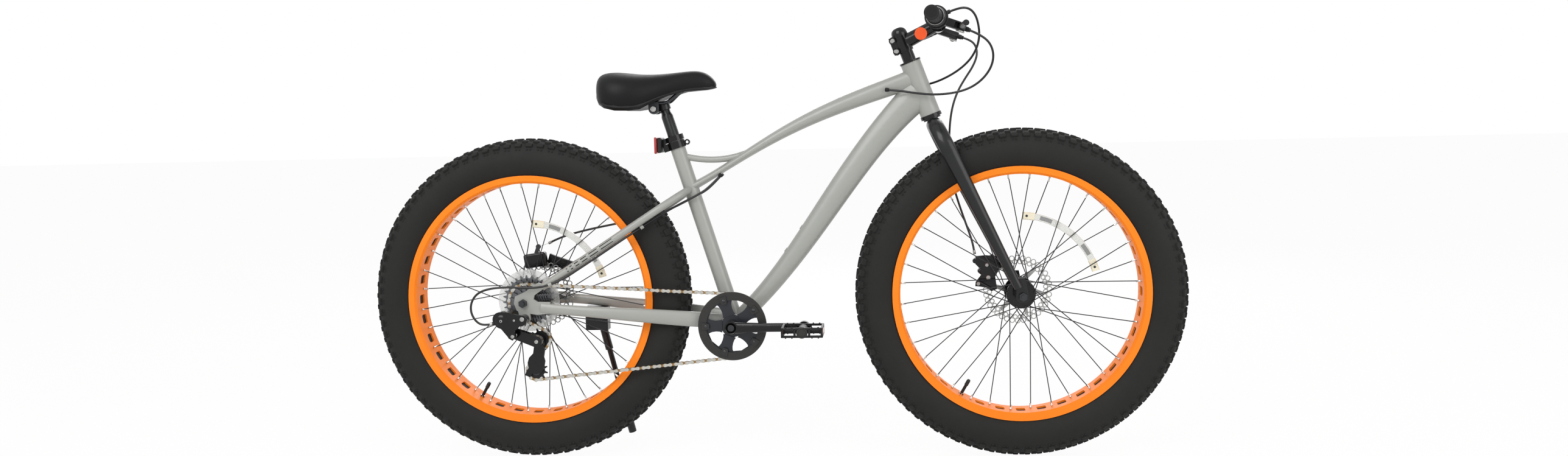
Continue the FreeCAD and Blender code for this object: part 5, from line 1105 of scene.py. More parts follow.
@dataclass
class Chain:
    """The roller chain on its loop: centres and signed radii in running order, in millimetres."""

    wheels: tuple[tuple[complex, float], ...]
    line: float = -64.0
    pitch: float = 12.7
    links: int = 118
    arc_steps: int = 40
    slack_share: float = 0.72
    swing_reach: tuple[float, float] = (22.4, 44.7)

    def build(self, repeats: Repeats) -> None:
        """Lays the inner and outer links; the runs at the derailleur are kept as separate pieces on no body.

        Args:
            repeats: The trees that repeat shapes.
        """
        count = self.links // 2
        for label, shape, first, finish, nodes in (
                ("chain_inner", self.inner_link(), 0.5, CHAIN_BRONZE, ("chain",)),
                ("chain_outer", self.outer_link(), 1.5, CHAIN_STEEL, ())):
            corners = self.loop(first * self.pitch)
            mesh = repeats.along_path(shape, count, corners, finish)
            stations, runs = self.runs(corners)
            places = [bisect(stations, self.links * self.pitch * link / count) % len(stations)
                      for link in range(count)]
            piece(f"{label}_links", kept_copies(mesh, [place == 0 for place in places]), finish, Body.FRAME,
                  "steel", *nodes)
            for at, (name, still, moving, start, end) in enumerate(runs, 1):
                part = kept_copies(mesh, [place == at for place in places])
                made = piece(f"{label}_{name}", part, finish, None, "steel")
                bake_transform(made)

    def runs(self, corners: Sequence[Vector]) -> tuple[list[float], list[ChainRun]]:
        """Where the chain passes from one body to the next.

        Args:
            corners: The loop's corners.

        Returns:
            Stations along the loop in millimetres, and each run's name, two bodies, and the points where it
            follows the first body and the second.
        """
        arc = self.arc_steps + 1
        ring_leave, tension_meet = corners[arc], corners[arc + 1]
        guide_leave, cog_meet = corners[3 * arc], corners[3 * arc + 1]
        middle = ring_leave.lerp(tension_meet, self.slack_share)
        along = [0.0]
        for here, there in zip(corners, corners[1:]):
            along.append(along[-1] + (there - here).length / MM)
        stations = [along[arc], along[arc] + (middle - ring_leave).length / MM, along[3 * arc],
                    along[3 * arc + 1]]
        centre = self.wheels[2][0]
        tension = mm(centre.real, self.line, centre.imag)
        above = tension + mm(self.swing_reach[0], 0, self.swing_reach[1])
        return stations, [
            ("return_run", Body.FRAME, Body.LINK, ring_leave, middle),
            ("cage_run", Body.LINK, Body.CAGE, above, tension),
            ("feed_run", Body.FRAME, Body.LINK, cog_meet, guide_leave)]

    def loop(self, first: float) -> list[Vector]:
        """Corners of the loop, from a step past the start of the upper run.

        Args:
            first: The step in millimetres.

        Returns:
            The corners in metres.
        """
        after = self.wheels[1:] + self.wheels[:1]
        runs = []
        for (here, r1), (there, r2) in zip(self.wheels, after):
            gap = there - here
            ahead = cmath.rect(1.0, cmath.phase(gap) - math.asin((r2 - r1) / abs(gap)))
            runs.append((here - 1j * ahead * r1, there - 1j * ahead * r2))
        start, end = runs[0]
        corners = [start + (end - start) / abs(end - start) * first]
        steps = self.arc_steps
        for (_, meet), (leave, _), (centre, radius) in zip(runs, runs[1:] + runs[:1], after):
            turn = cmath.phase((leave - centre) / (meet - centre)) % (2 * math.pi)
            if radius < 0:
                turn -= 2 * math.pi
            sweep = [cmath.rect(1.0, turn * at / steps) for at in range(steps + 1)]
            corners += [centre + (meet - centre) * part for part in sweep]
        return [mm(corner.real, self.line, corner.imag) for corner in corners]

    def inner_link(self) -> bpy.types.Mesh:
        """Two plates on a pair of rollers.

        Returns:
            The link's mesh about the origin.
        """
        link = Shape()
        for side in (-2.0, 2.0):
            link.plate(link_outline(self.pitch, 4.0, 2.5), frame_at(mm(0, side, 0), LEFT, AHEAD), 0.8)
        for along in (-self.pitch / 2, self.pitch / 2):
            link.lathe(((3.3, -1.6), (3.3, 1.6)), frame_at(mm(along, 0, 0), LEFT), 12)
        return link.mesh("inner_link")

    def outer_link(self) -> bpy.types.Mesh:
        """Two plates on a pair of pins.

        Returns:
            The link's mesh about the origin.
        """
        link = Shape()
        for side in (-2.9, 2.9):
            link.plate(link_outline(self.pitch, 3.9, 2.4), frame_at(mm(0, side, 0), LEFT, AHEAD), 0.8)
        for along in (-self.pitch / 2, self.pitch / 2):
            pin = ((1.5, -3.9), (1.9, -3.5), (1.9, 3.5), (1.5, 3.9))
            link.lathe(pin, frame_at(mm(along, 0, 0), LEFT), 10)
        return link.mesh("outer_link")


@dataclass
class WheelTrim:
    """Nipples, valve fittings, rotor and spoke reflector of a wheel, in millimetres about its axle."""

    label: str
    body: Body
    centre: Vector
    rotor_face: float
    reflector_side: float
    bed: float = 271.5
    spread: float = 8.0
    valve_turn: float = 210.0
    reflector_radius: float = 176.0

    def build(self, repeats: Repeats) -> None:
        """Makes the wheel's small parts.

        Args:
            repeats: The trees that repeat shapes.
        """
        axle = Matrix.Translation(self.centre)
        for side, sign, first in (("right", -1, 5.0), ("left", 1, 15.0)):
            nipple = Shape()
            nipple.lathe(((2.6, -2), (2.6, 2.4), (2.0, 3.2), (1.8, 11.4), (1.3, 12)),
                         frame_at(mm(0, sign * self.spread, self.bed), -UP), 10)
            mesh = repeats.round_axle(nipple.mesh("nipple"), 18, axle, BRIGHT_STEEL, first)
            piece(f"{self.label}_{side}_nipples", mesh, BRIGHT_STEEL, self.body, "steel")
        bolt = Shape()
        bolt.socket_bolt(frame_at(mm(0, self.rotor_face, 22), LEFT), 4.0, 2.6)
        mesh = repeats.round_axle(bolt.mesh("rotor_bolt"), 6, axle, DARK_STEEL, 30.0)
        piece(f"{self.label}_rotor_bolts", mesh, DARK_STEEL, self.body, "dark_steel")
        self.make_rotor(repeats, axle)
        self.make_valve()
        self.make_reflector()

    def make_rotor(self, repeats: Repeats, axle: Matrix) -> None:
        """The brake rotor: two rows of ringed vents, six swept arms and a ring round the hub.

        Args:
            repeats: The trees that repeat shapes.
            axle: Where the wheel's axle stands.
        """
        middle = self.rotor_face - 0.9
        parts = []
        for radius, outer, inner, half, first in ((73.4, 6.5, 4.5, 0.9, 0.0), (64.4, 5.7, 3.6, 0.86, 5.0)):
            vent = Shape()
            vent.lathe(((inner, -half), (outer, -half), (outer, half), (inner, half)),
                       frame_at(mm(0, middle, radius), LEFT), 20, closed=True)
            parts.append(repeats.round_axle(vent.mesh("rotor_vent"), 36, axle, STEEL, first))
        arm = Shape()
        arm.plate(((-7, 26), (6, 26), (15, 60), (7, 60)), frame_at(mm(0, middle, 0), RIGHT, AHEAD), 1.6)
        parts.append(repeats.round_axle(arm.mesh("rotor_arm"), 6, axle, STEEL, 30.0))
        hub = Shape()
        hub.lathe(((14.4, -0.88), (28, -0.88), (28, 0.88), (14.4, 0.88)),
                  frame_at(self.centre + LEFT * (middle * MM), LEFT), 48, closed=True)
        mesh = joined(f"{self.label}_vented_rotor", hub.mesh("rotor_hub"), *parts)
        piece(f"{self.label}_vented_rotor", mesh, STEEL, self.body, "steel", f"{self.label}_rotor")

    def make_valve(self) -> None:
        """The valve's nut and its cap."""
        turn = math.radians(self.valve_turn)
        out = Vector((math.sin(turn), 0, math.cos(turn)))
        seat = frame_at(self.centre + out * (self.bed * MM), -out)
        nut = Shape()
        nut.lathe(((6.0, 0.2), (6.0, 3.0), (5.2, 3.6)), seat, 6)
        piece(f"{self.label}_valve_nut", nut.mesh("valve_nut"), BRIGHT_STEEL, self.body, "steel")
        cap = Shape()
        ridged = [(4.6 if at % 2 else 4.2, 24.0 + at) for at in range(13)]
        cap.lathe([(3.8, 23.6)] + ridged + [(3.2, 38.6), (1.6, 39.4)], seat, 16)
        piece(f"{self.label}_valve_cap", cap.mesh("valve_cap"), BLACK_PLASTIC, self.body, "black_plastic")

    def make_reflector(self) -> None:
        """The long spoke reflector: two clips, a lens between them and its panels and screws."""
        wheel = frame_at(self.centre + LEFT * (self.reflector_side * MM), RIGHT, AHEAD)
        lens = Shape()
        lens.arc_bar(wheel, self.reflector_radius, 15.0, 4.6, 23.0, 81.0)
        piece(f"{self.label}_reflector_lens", lens.mesh("reflector_lens"), WHITE_LENS, self.body,
              "clear_plastic", f"{self.label}_spoke_reflector")
        panels = Shape()
        for start in (29.0, 66.0):
            panels.arc_bar(wheel, self.reflector_radius, 10.0, 5.4, start, start + 9.0)
        piece(f"{self.label}_reflector_panels", panels.mesh("reflector_panels"), GREY_LENS, self.body,
              "clear_plastic")
        clips, screws = Shape(), Shape()
        for start in (16.0, 79.0):
            clips.arc_bar(wheel, self.reflector_radius, 17.0, 6.0, start, start + 9.0, 1.6)
            turn = math.radians(start + (3.0 if start < 45 else 6.0))
            out = Vector((math.cos(turn), math.sin(turn), 0)) * (self.reflector_radius * MM)
            screws.socket_bolt(frame_at(wheel @ (out + UP * (3.0 * MM)), RIGHT), 2.8, 0.8)
        piece(f"{self.label}_reflector_clips", clips.mesh("reflector_clips"), CREAM_PLASTIC, self.body,
              "clear_plastic")
        piece(f"{self.label}_reflector_screws", screws.mesh("reflector_screws"), DARK_STEEL, self.body,
              "dark_steel")


@dataclass
class Pedal:
    """An open cage pedal with studs and reflectors, in millimetres about its middle."""

    label: str
    body: Body
    axle: Vector
    side: int
    offset: float = 139.5

    def build(self) -> None:
        """Makes the cage, its end cap and its reflectors."""
        middle = Vector((self.axle.x, self.side * self.offset * MM, self.axle.z))
        out = LEFT * self.side
        cage = Shape()
        bars = [((92, 5, 5), (0, end * 30, level * 8.5)) for end in (-1, 1) for level in (-1, 1)]
        bars += [((5, 5, 17), (x, end * 30, 0)) for x in (-43.5, -16, 16, 43.5) for end in (-1, 1)]
        bars += [((5, 60, 5), (x, 0, level * 8.5)) for x in (-43.5, 43.5) for level in (-1, 1)]
        bars += [((84, 4, 9), (0, y, 0)) for y in (-12, 12)]
        for size, place in bars:
            cage.block(size, Matrix.Translation(middle + mm(*place)), 0.8)
        cage.lathe(((8.5, -33), (10, -31), (10, -20), (11.5, -17), (11.5, 27), (12.6, 28), (12.6, 31)),
                   frame_at(middle, out), 28)
        for x in (-36, -22, 22, 36):
            for end in (-1, 1):
                for level in (-1, 1):
                    cage.lathe(((1.7, 0), (1.7, 1.4), (0.8, 2.2)),
                               frame_at(middle + mm(x, end * 30, level * 10.7), UP * level), 10)
        piece(f"{self.label}_cage", cage.mesh("pedal_cage"), BLACK_PLASTIC, self.body, "black_plastic",
              self.label)
        cap = Shape()
        cap.lathe(((11.6, 30.8), (11.6, 32.2), (9.2, 32.8), (9.0, 32.2), (8.0, 32.2), (7.8, 32.8),
                   (1.5, 33.0)), frame_at(middle, out), 28)
        piece(f"{self.label}_end_cap", cap.mesh("pedal_cap"), GUARD_PLASTIC, self.body, "black_plastic")
        lens = Shape()
        for sign in (-1, 1):
            lens.block((2.4, 44, 11), Matrix.Translation(middle + mm(sign * 44.5, 0, 0)), 0.5)
        piece(f"{self.label}_reflectors", lens.mesh("pedal_reflectors"), AMBER_LENS, self.body,
              "orange_paint")


# The bar's left end in millimetres, and its slope inwards in plan.
BAR_END = (361.946, 333.0, 985.767)
BAR_SLOPE = (0.1132, 0.99357)


def bar_frame(side: int, station: float) -> Matrix:
    """A frame on the bar, its Z pointing from the end towards the stem.

    Args:
        side: -1 on the right, 1 on the left.
        station: How far from the bar's end, in millimetres.

    Returns:
        The frame.
    """
    inward = Vector((BAR_SLOPE[0], -side * BAR_SLOPE[1], 0))
    return frame_at(mm(BAR_END[0], side * BAR_END[1], BAR_END[2]) + inward * (station * MM), inward, AHEAD)


@dataclass(frozen=True)
class Grip:
    """A ribbed rubber grip with a closed end; sizes in millimetres."""

    label: str
    side: int
    length: float
    radius: float = 15.5

    def build(self, *nodes: str) -> None:
        """Turns the grip.

        Args:
            nodes: CAD nodes that it replaces.
        """
        profile = [(1.8, 3.5), (1.8, 0.2), (self.radius - 1.2, 0.0), (self.radius, 1.2), (self.radius, 6.0)]
        for rib in range(int((self.length - 12) / 5)):
            low = 7.0 + 5.0 * rib
            profile += [(self.radius - 0.9, low), (self.radius - 0.9, low + 1.2), (self.radius, low + 1.8),
                        (self.radius, low + 4.4)]
        profile += [(self.radius, self.length - 0.6), (self.radius - 0.8, self.length)]
        grip = Shape()
        grip.lathe(profile, bar_frame(self.side, 0.0), 40)
        piece(self.label, grip.mesh(self.label), GRIP_RUBBER, Body.STEERING, "soft_rubber", *nodes)


@dataclass(frozen=True)
class Bolt:
    """A socket bolt: where its head sits, in millimetres, and which way it looks."""

    place: tuple[float, float, float]
    axis: tuple[float, float, float]
    radius: float
    height: float


DARK_HEADS = ("crank_bolts",)
BOLTS: dict[tuple[str, Body], tuple[Bolt, ...]] = {
    ("crank_bolts", Body.CRANKSET): (
        Bolt((-88, -100.6, 314.5), (0, -1, 0), 7.5, 1.6), Bolt((-88, 100.6, 314.5), (0, 1, 0), 7.5, 1.6)),
    ("tension_pulley_bolt", Body.CAGE): (Bolt((-546.93, -71.0, 214.97), (0, -1, 0), 3.6, 2.0),),
    ("derailleur_bolts", Body.FRAME): (
        Bolt((-559.5, -125.6, 343.4), (0, -1, 0), 5.2, 2.0),
        Bolt((-608.0, -127.6, 340.0), (0, -1, 0), 3.2, 1.2),
        Bolt((-578.0, -125.6, 341.0), (0, -1, 0), 2.6, 1.2),
        Bolt((-583.0, -125.6, 304.0), (0, -1, 0), 4.2, 1.6)),
    ("link_bolts", Body.LINK): (
        Bolt((-583.0, -103.0, 304.0), (0, -1, 0), 4.0, 1.6),
        Bolt((-535.0, -103.0, 288.0), (0, -1, 0), 4.6, 1.8)),
    ("saddle_clamp_bolts", Body.POST): (
        Bolt((-261.5, -33.0, 810.4), (0, -1, 0), 7.0, 2.4), Bolt((-261.5, 33.0, 810.4), (0, 1, 0), 7.0, 2.4)),
    ("lever_pivots", Body.STEERING): (
        Bolt((434.4, -150, 975.5), (0.342, 0, 0.94), 5.0, 2.4),
        Bolt((434.4, 150, 975.5), (0.342, 0, 0.94), 5.0, 2.4),
        Bolt((428.9, -150, 960.5), (-0.342, 0, -0.94), 4.4, 3.0),
        Bolt((428.9, 150, 960.5), (-0.342, 0, -0.94), 4.4, 3.0)),
    ("stem_lug_bolts", Body.STEERING): (
        Bolt((285, -14, 950), (0, -1, 0), 4.8, 3.4), Bolt((294, -14, 926), (0, -1, 0), 4.8, 3.4)),
    ("caliper_bolts", Body.STEERING): (
        Bolt((497, 36, 405), (0, -1, 0), 5.2, 2.4), Bolt((474, 36, 391), (0, -1, 0), 4.4, 2.4),
        Bolt((494, 36, 434), (0, -1, 0), 4.2, 2.0)),
    ("front_arm_bolts", Body.FRONT_ARM): (
        Bolt((489, 66.2, 419), (0, 1, 0), 5.0, 3.0), Bolt((469, 66.2, 441), (0, 1, 0), 4.0, 2.5)),
    ("rear_arm_bolts", Body.REAR_ARM): (
        Bolt((-584, 82.2, 459), (0, 1, 0), 5.0, 3.0), Bolt((-573, 82.2, 488), (0, 1, 0), 4.0, 2.5)),
}


def make_bolts() -> None:
    """Sets every bolt head."""
    for (label, body), bolts in BOLTS.items():
        heads = Shape()
        for bolt in bolts:
            heads.socket_bolt(frame_at(mm(*bolt.place), Vector(bolt.axis)), bolt.radius, bolt.height)
        piece(label, heads.mesh(label), DARK_STEEL if label in DARK_HEADS else STEEL, body, "steel")


@dataclass(frozen=True)
class Turned:
    """A kind of small turned part: a profile of radius and height in millimetres, with its seats and axes."""

    label: str
    body: Body
    slot: str
    finish: Finish
    profile: Profile
    seats: tuple[tuple[tuple[float, float, float], tuple[float, float, float]], ...]
    closed: bool = False

    def build(self) -> None:
        """Turns the part at every seat."""
        made = Shape()
        for place, axis in self.seats:
            made.lathe(self.profile, frame_at(mm(*place), Vector(axis)), 24, self.closed)
        piece(self.label, made.mesh(self.label), self.finish, self.body, self.slot)


KNURL = tuple((5.6 if at % 2 else 5.0, 1.0 + 0.8 * at) for at in range(12))
FERRULE = ((3.2, 0.0), (3.5, 0.4), (3.5, 8.2), (3.1, 8.8), (1.2, 9.0))
TURNED = (
    Turned("derailleur_knuckle", Body.FRAME, "black_plastic", GLOSS_BLACK,
           ((18.6, 0), (19.2, 3), (18.8, 8), (16, 12.5), (11, 15.2), (4, 16.2)),
           (((-608, -112, 340), (0, -1, 0)),)),
    Turned("barrel_adjusters", Body.STEERING, "black_plastic", BLACK_PLASTIC,
           ((4.7, 0), *KNURL, (3.8, 11.2), (3.6, 14.4)),
           (((437.99, -135.63, 965.68), (0.8405, 0.447, -0.306)),
            ((437.99, 135.63, 965.68), (0.8405, -0.447, -0.306)))),
    Turned("frame_ferrules", Body.FRAME, "steel", STEEL, FERRULE,
           (((-539.6, 79.8, 499.6), (-0.902, 0.039, -0.431)), ((-638.9, -109.2, 330.1), (0.985, 0, 0.174)))),
    Turned("fork_ferrule", Body.STEERING, "steel", STEEL, FERRULE,
           (((467.2, 68.8, 464.9), (0.14, -0.14, -0.98)),)),
    Turned("port_grommets", Body.FRAME, "soft_rubber", GRIP_RUBBER,
           ((2.8, 0), (3.8, 1.2), (4.4, 4), (4.4, 9)),
           (((275.8, -23.1, 840.4), (-0.963, 0.246, 0.1)), ((277.8, 23, 843.4), (-0.971, -0.232, -0.063)),
            ((-117.5, -12.4, 651.5), (0.682, 0.17, 0.711)), ((-117.5, 12.4, 651.5), (0.682, -0.17, 0.711)))),
    Turned("cable_stops", Body.FRAME, "frame_paint", FRAME_GREY, ((2.6, 0), (4.8, 0), (4.8, 8), (2.6, 8)),
           (((-286, -69, 546), (-0.82, -0.2, -0.53)), ((-497, -94, 419.5), (-0.9, -0.23, -0.36))),
           closed=True),
    Turned("band_loop", Body.FRAME, "black_plastic", BLACK_PLASTIC, ((3.2, 0), (6.6, 0), (6.6, 5), (3.2, 5)),
           (((-190.5, -2.5, 733.5), (0, 1, 0)),), closed=True),
    Turned("lever_clamps", Body.STEERING, "alloy", CAST_ALLOY, ((8.5, 0), (9.5, 0.8), (9.5, 3.2), (8.5, 4)),
           (((427.6, -150, 956.8), (0.342, 0, 0.94)), ((427.6, 150, 956.8), (0.342, 0, 0.94)))),
    Turned("stem_lugs", Body.STEERING, "black_paint", GLOSS_BLACK,
           ((6.5, 0), (8.5, 1.6), (8.5, 26.4), (6.5, 28)),
           (((285, -14, 950), (0, 1, 0)), ((294, -14, 926), (0, 1, 0)))),
    Turned("stem_shoulder", Body.STEERING, "black_paint", GLOSS_BLACK,
           ((18.4, 0), (18.4, 6), (17.6, 11), (15.2, 16), (11, 19.5), (4, 21.4)),
           (((302.55, 0, 960.2), (-0.34857, 0, 0.93728)),)),
)


WIRES = (
    ("front_brake_wire", Body.STEERING, (468, 68, 459), Body.FRONT_ARM, (469, 64, 441)),
    ("rear_brake_wire", Body.FRAME, (-545, 80, 497), Body.REAR_ARM, (-573, 80, 488)),
)


def make_wires() -> None:
    """Runs a bare wire from the end of each brake housing to the caliper's arm."""
    for label, body, start, arm, end in WIRES:
        wire = Shape()
        wire.tube([mm(*start), mm(*end)], [0.8, 0.8], 8)
        made = piece(label, wire.mesh(label), STEEL, None, "steel")
        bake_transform(made)


@dataclass
class Drive:
    """Plates and small parts of the drive, the front caliper and the rear reflector, in millimetres."""

    arm_outline: Profile = (
        (15, 24), (13, 30), (12.5, 38), (13.5, 46), (15.5, 52), (19, 57), (23, 60.5), (24, 64))
    shell_outline: Profile = (
        (-620, 352), (-606, 361), (-590, 359), (-572, 354), (-554, 351), (-547, 343), (-551, 333),
        (-566, 327), (-578, 316), (-576, 304), (-583, 295), (-592, 300), (-600, 318), (-618, 326),
        (-626, 338))
    caliper_outline: Profile = (
        (468, 455), (492, 457), (517, 454), (524, 428), (513, 407), (517, 378), (504, 373), (495, 381),
        (478, 384), (467, 385), (468, 395), (481, 412), (479, 429), (468, 436))
    cage_outline: Profile = (
        (-549, 275), (-527, 275), (-524, 262), (-527, 250), (-524, 238), (-527, 222), (-534, 211),
        (-548, 207), (-556, 209), (-561, 200), (-573, 205), (-569, 216), (-564, 222), (-566, 234),
        (-562, 246), (-552, 256))
    arms: int = 5
    first_arm: float = 54.0
    spider_side: float = -66.3
    caliper_side: float = 37.4
    tab_side: float = -73.2
    rivet_side: float = -74.0
    shell_side: float = -123.4
    cage_side: float = -72.6

    def build(self, repeats: Repeats, crank: Vector) -> None:
        """Makes the spider, the guard's tabs and rivets, and the plates.

        Args:
            repeats: The trees that repeat shapes.
            crank: The crank's axle.
        """
        place = Matrix.Translation(Vector((crank.x, 0, crank.z)))
        arm = Shape()
        right = [(-half, radius) for half, radius in self.arm_outline]
        arm.plate(right + [(-half, radius) for half, radius in reversed(right)],
                  frame_at(mm(0, self.spider_side, 0), RIGHT, AHEAD), 2.2)
        mesh = repeats.round_axle(arm.mesh("spider_arm"), self.arms, place, RING_BLACK, self.first_arm)
        piece("spider_arms", mesh, RING_BLACK, Body.CRANKSET, "dark_steel")
        face = Shape()
        face.plate(self.caliper_outline, frame_at(mm(0, self.caliper_side, 0), RIGHT, AHEAD), 3.0)
        piece("front_caliper_face", face.mesh("front_caliper_face"), GLOSS_BLACK, Body.STEERING,
              "black_paint")
        backing = Shape()
        backing.block((10, 50, 34), Matrix.Translation(mm(-252.2, 0, 727)), 2.0)
        piece("reflector_backing", backing.mesh("reflector_backing"), BLACK_PLASTIC, Body.FRAME,
              "black_plastic")
        tab = Shape()
        tab.plate(((-9, 70), (-7, 58), (-5, 53), (5, 53), (7, 58), (9, 70)),
                  frame_at(mm(0, self.tab_side, 0), RIGHT, AHEAD), 2.0)
        mesh = repeats.round_axle(tab.mesh("guard_tab"), self.arms, place, GUARD_PLASTIC, self.first_arm)
        piece("guard_tabs", mesh, GUARD_PLASTIC, Body.CRANKSET, "guard_plastic")
        rivet = Shape()
        rivet.lathe(((3.8, 0), (3.8, 0.6), (3.0, 1.4), (1.2, 1.8)),
                    frame_at(mm(0, self.rivet_side, 61), RIGHT), 20)
        mesh = repeats.round_axle(rivet.mesh("guard_rivet"), self.arms, place, DARK_STEEL, self.first_arm)
        piece("guard_rivets", mesh, DARK_STEEL, Body.CRANKSET, "dark_steel")
        shell = Shape()
        shell.plate(self.shell_outline, frame_at(mm(0, self.shell_side, 0), RIGHT, AHEAD), 5.0)
        piece("derailleur_shell", shell.mesh("derailleur_shell"), GLOSS_BLACK, Body.FRAME, "black_plastic")
        plate = Shape()
        plate.plate(self.cage_outline, frame_at(mm(0, self.cage_side, 0), RIGHT, AHEAD), 2.0)
        piece("cage_outer_plate", plate.mesh("cage_outer_plate"), GLOSS_BLACK, Body.CAGE, "dark_steel")


@dataclass
class Cockpit:
    """Small parts round the handlebar and the stem, in millimetres."""

    right_length: float = 88.0
    left_length: float = 128.0
    rib_station: float = 107.0
    ribs: int = 16
    disc_place: tuple[float, float, float] = (348.3, 17.0, 964.5)

    def build(self, repeats: Repeats) -> None:
        """Makes the grips, the twist grip's ribs, the rings and the stem's disc.

        Args:
            repeats: The trees that repeat shapes.
        """
        Grip("right_grip", -1, self.right_length).build("grips")
        Grip("left_grip", 1, self.left_length).build()
        rib = Shape()
        rib.block((3.0, 24.0, 2.4), Matrix.Translation(mm(0, 0, 18.2)), 0.6, 0.8)
        shaft = bar_frame(-1, self.rib_station) @ Matrix.Rotation(math.radians(90), 4, "X")
        ribs = repeats.round_axle(rib.mesh("twist_rib"), self.ribs, shaft, GRIP_RUBBER)
        piece("twist_ribs", ribs, GRIP_RUBBER, Body.TWIST, "soft_rubber")
        ring = Shape()
        for station, radius in ((90.0, 18.9), (123.0, 22.8)):
            ring.lathe(((radius - 3, 0), (radius - 0.4, 0), (radius, 0.5), (radius, 2.0), (radius - 0.4, 2.5),
                        (radius - 3, 2.5)), bar_frame(-1, station), 48, closed=True)
        piece("twist_rings", ring.mesh("twist_rings"), BRIGHT_STEEL, Body.TWIST, "steel")
        disc = Shape()
        x, out, z = self.disc_place
        for side in (-1, 1):
            disc.lathe(((13.4, 0), (14.0, 0.2), (13.8, 0.6)), frame_at(mm(x, side * out, z), LEFT * side), 40)
        piece("stem_discs", disc.mesh("stem_discs"), ORANGE_DISC, Body.STEERING, "orange_paint")


@dataclass
class Decals:
    """Plain ink dashes on the seat stays: two rows that shrink towards the wheel's axle, in millimetres."""

    front: tuple[float, float] = (-369.3, 507.8)
    back: tuple[float, float] = (-521.0, 411.0)
    spread: tuple[float, float] = (77.0, 84.0)
    skin: float = 7.25
    dashes: tuple[float, ...] = (0.2, 0.13, 0.09, 0.06, 0.035, 0.02)
    gap: float = 0.035

    def build(self) -> None:
        """Prints the dashes on both stays."""
        ink = Shape()
        for side in (-1, 1):
            for lift in (-22.0, 24.0):
                at = -0.1
                for length in self.dashes:
                    ends = [self.on_stay(side, share, lift) for share in (at, at + length)]
                    ink.tube([ends[0], ends[0].lerp(ends[1], 0.04), ends[0].lerp(ends[1], 0.96), ends[1]],
                             [1.2, 1.75, 1.75, 1.2], 10)
                    at += length + self.gap
        piece("stay_dashes", ink.mesh("stay_dashes"), BLACK_INK, Body.FRAME, "black_paint")

    def on_stay(self, side: int, share: float, lift: float) -> Vector:
        """A point just under the outer skin of a seat stay.

        Args:
            side: -1 on the right, 1 on the left.
            share: How far down the stay.
            lift: The angle round the stay, in degrees above its outermost line.

        Returns:
            The point in metres.
        """
        x = self.front[0] + share * (self.back[0] - self.front[0])
        z = self.front[1] + share * (self.back[1] - self.front[1])
        y = side * (self.spread[0] + share * (self.spread[1] - self.spread[0]))
        slope = Vector((self.back[0] - self.front[0], 0, self.back[1] - self.front[1])).normalized()
        high = Vector((slope.z, 0, -slope.x)) * (1 if slope.x < 0 else -1)
        turn = math.radians(lift)
        return mm(x, y, z) + (LEFT * (side * math.cos(turn)) + high * math.sin(turn)) * (self.skin * MM)


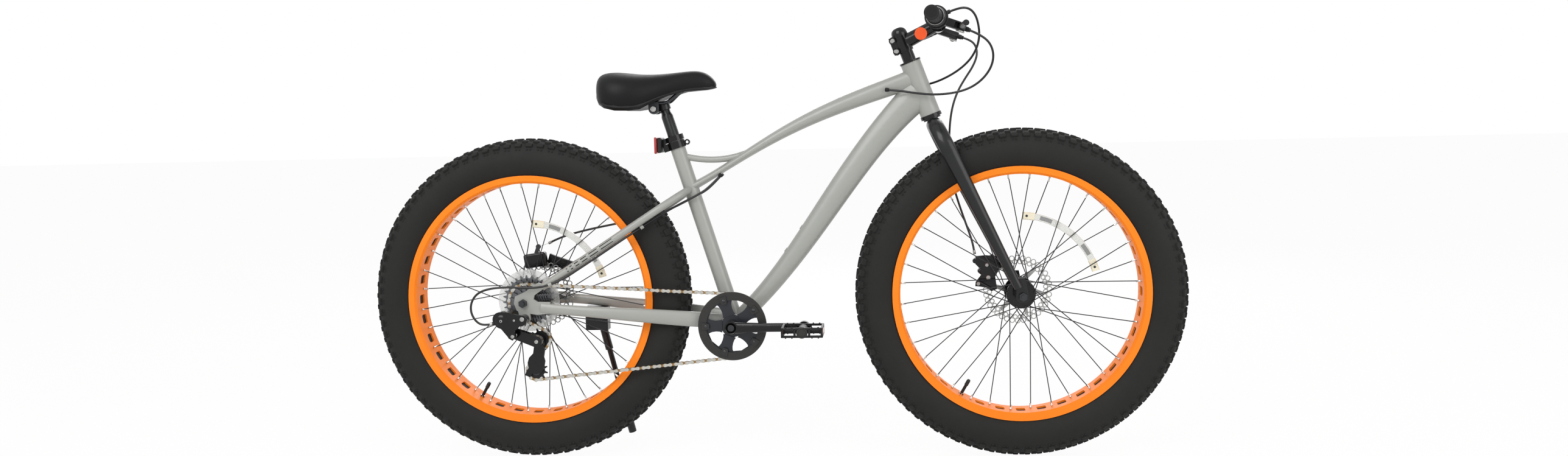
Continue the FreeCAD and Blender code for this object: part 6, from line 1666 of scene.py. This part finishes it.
def smooth_tree(angle: float = 30.0) -> bpy.types.NodeTree:
    """A tree that joins a node's loose triangles and shades them smooth between their sharp edges.

    Args:
        angle: The angle above which an edge stays sharp, in degrees.

    Returns:
        The tree.
    """
    tree = bpy.data.node_groups.new("smooth_skin", "GeometryNodeTree")
    tree.interface.new_socket("Skin", in_out="INPUT", socket_type="NodeSocketGeometry")
    tree.interface.new_socket("Skin", in_out="OUTPUT", socket_type="NodeSocketGeometry")
    given = add(tree, "NodeGroupInput").outputs
    bare = add(tree, "GeometryNodeRemoveAttribute", {"Geometry": given["Skin"], "Name": "custom_normal"})
    merged = add(tree, "GeometryNodeMergeByDistance", {"Geometry": bare.outputs[0], "Distance": 2e-6})
    soft = add(tree, "GeometryNodeSetShadeSmooth", {"Geometry": merged.outputs[0], "Shade Smooth": True})
    fold = add(tree, "GeometryNodeInputMeshEdgeAngle")
    crease = add(tree, "FunctionNodeCompare", {0: fold.outputs["Unsigned Angle"], 1: math.radians(angle)},
                 operation="GREATER_THAN")
    sharp = add(tree, "GeometryNodeSetShadeSmooth", {
        "Geometry": soft.outputs[0], "Selection": crease.outputs[0], "Shade Smooth": False}, domain="EDGE")
    add(tree, "NodeGroupOutput", {"Skin": sharp.outputs[0]})
    return tree


def dress_nodes(frame: dict[str, Any]) -> None:
    """Gives every CAD node its finish and a smooth skin.
    """
    tree = smooth_tree()
    for finish, names in NODE_FINISHES.items():
        for name in names:
            node = frame["nodes"][name]
            node.data.materials.clear()
            node.data.materials.append(finish.material())
            node.modifiers.new("skin", "NODES").node_group = tree
            LOG.info("%s: %s", name, finish.label)


def main() -> None:
    """Builds the scene in order."""
    logging.basicConfig(level=logging.INFO, format="%(message)s")
    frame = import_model()
    Studio().build()
    dress_nodes(frame)
    for cable in CABLES:
        cable.build()
    repeats = Repeats()
    axles = {joint["child"]: Vector(joint["pos_m"]) for joint in frame["joints"]
             if joint["name"].endswith("wheel_spin")}
    Tyre("front_tyre", "front_tire", Body.FRONT_WHEEL, axles["front_wheel"]).build(repeats)
    Tyre("rear_tyre", "rear_tire", Body.REAR_WHEEL, axles["rear_wheel"]).build(repeats)
    Saddle().build()
    joints = {joint["name"]: Vector(joint["pos_m"]) for joint in frame["joints"] if joint.get("pos_m")}
    WheelTrim("front", Body.FRONT_WHEEL, axles["front_wheel"], rotor_face=50.9,
              reflector_side=-10.2).build(repeats)
    WheelTrim("rear", Body.REAR_WHEEL, axles["rear_wheel"], rotor_face=66.9,
              reflector_side=-11.6).build(repeats)
    wheels = []
    for name, teeth, sense in (("rear_wheel_spin", 20, -1), ("crank_spin", 36, -1),
                               ("tension_pulley_spin", 11, -1), ("guide_pulley_spin", 11, 1)):
        centre = joints[name] / MM
        wheels.append((complex(centre.x, centre.z), sense * Chain.pitch / 2 / math.sin(math.pi / teeth)))
    Chain(tuple(wheels)).build(repeats)
    Pedal("right_pedal", Body.RIGHT_PEDAL, joints["right_pedal_spin"], -1).build()
    Pedal("left_pedal", Body.LEFT_PEDAL, joints["left_pedal_spin"], 1).build()
    make_bolts()
    for kind in TURNED:
        kind.build()
    make_wires()
    Drive().build(repeats, joints["crank_spin"])
    Cockpit().build(repeats)
    Decals().build()


if __name__ == "__main__":
    main()
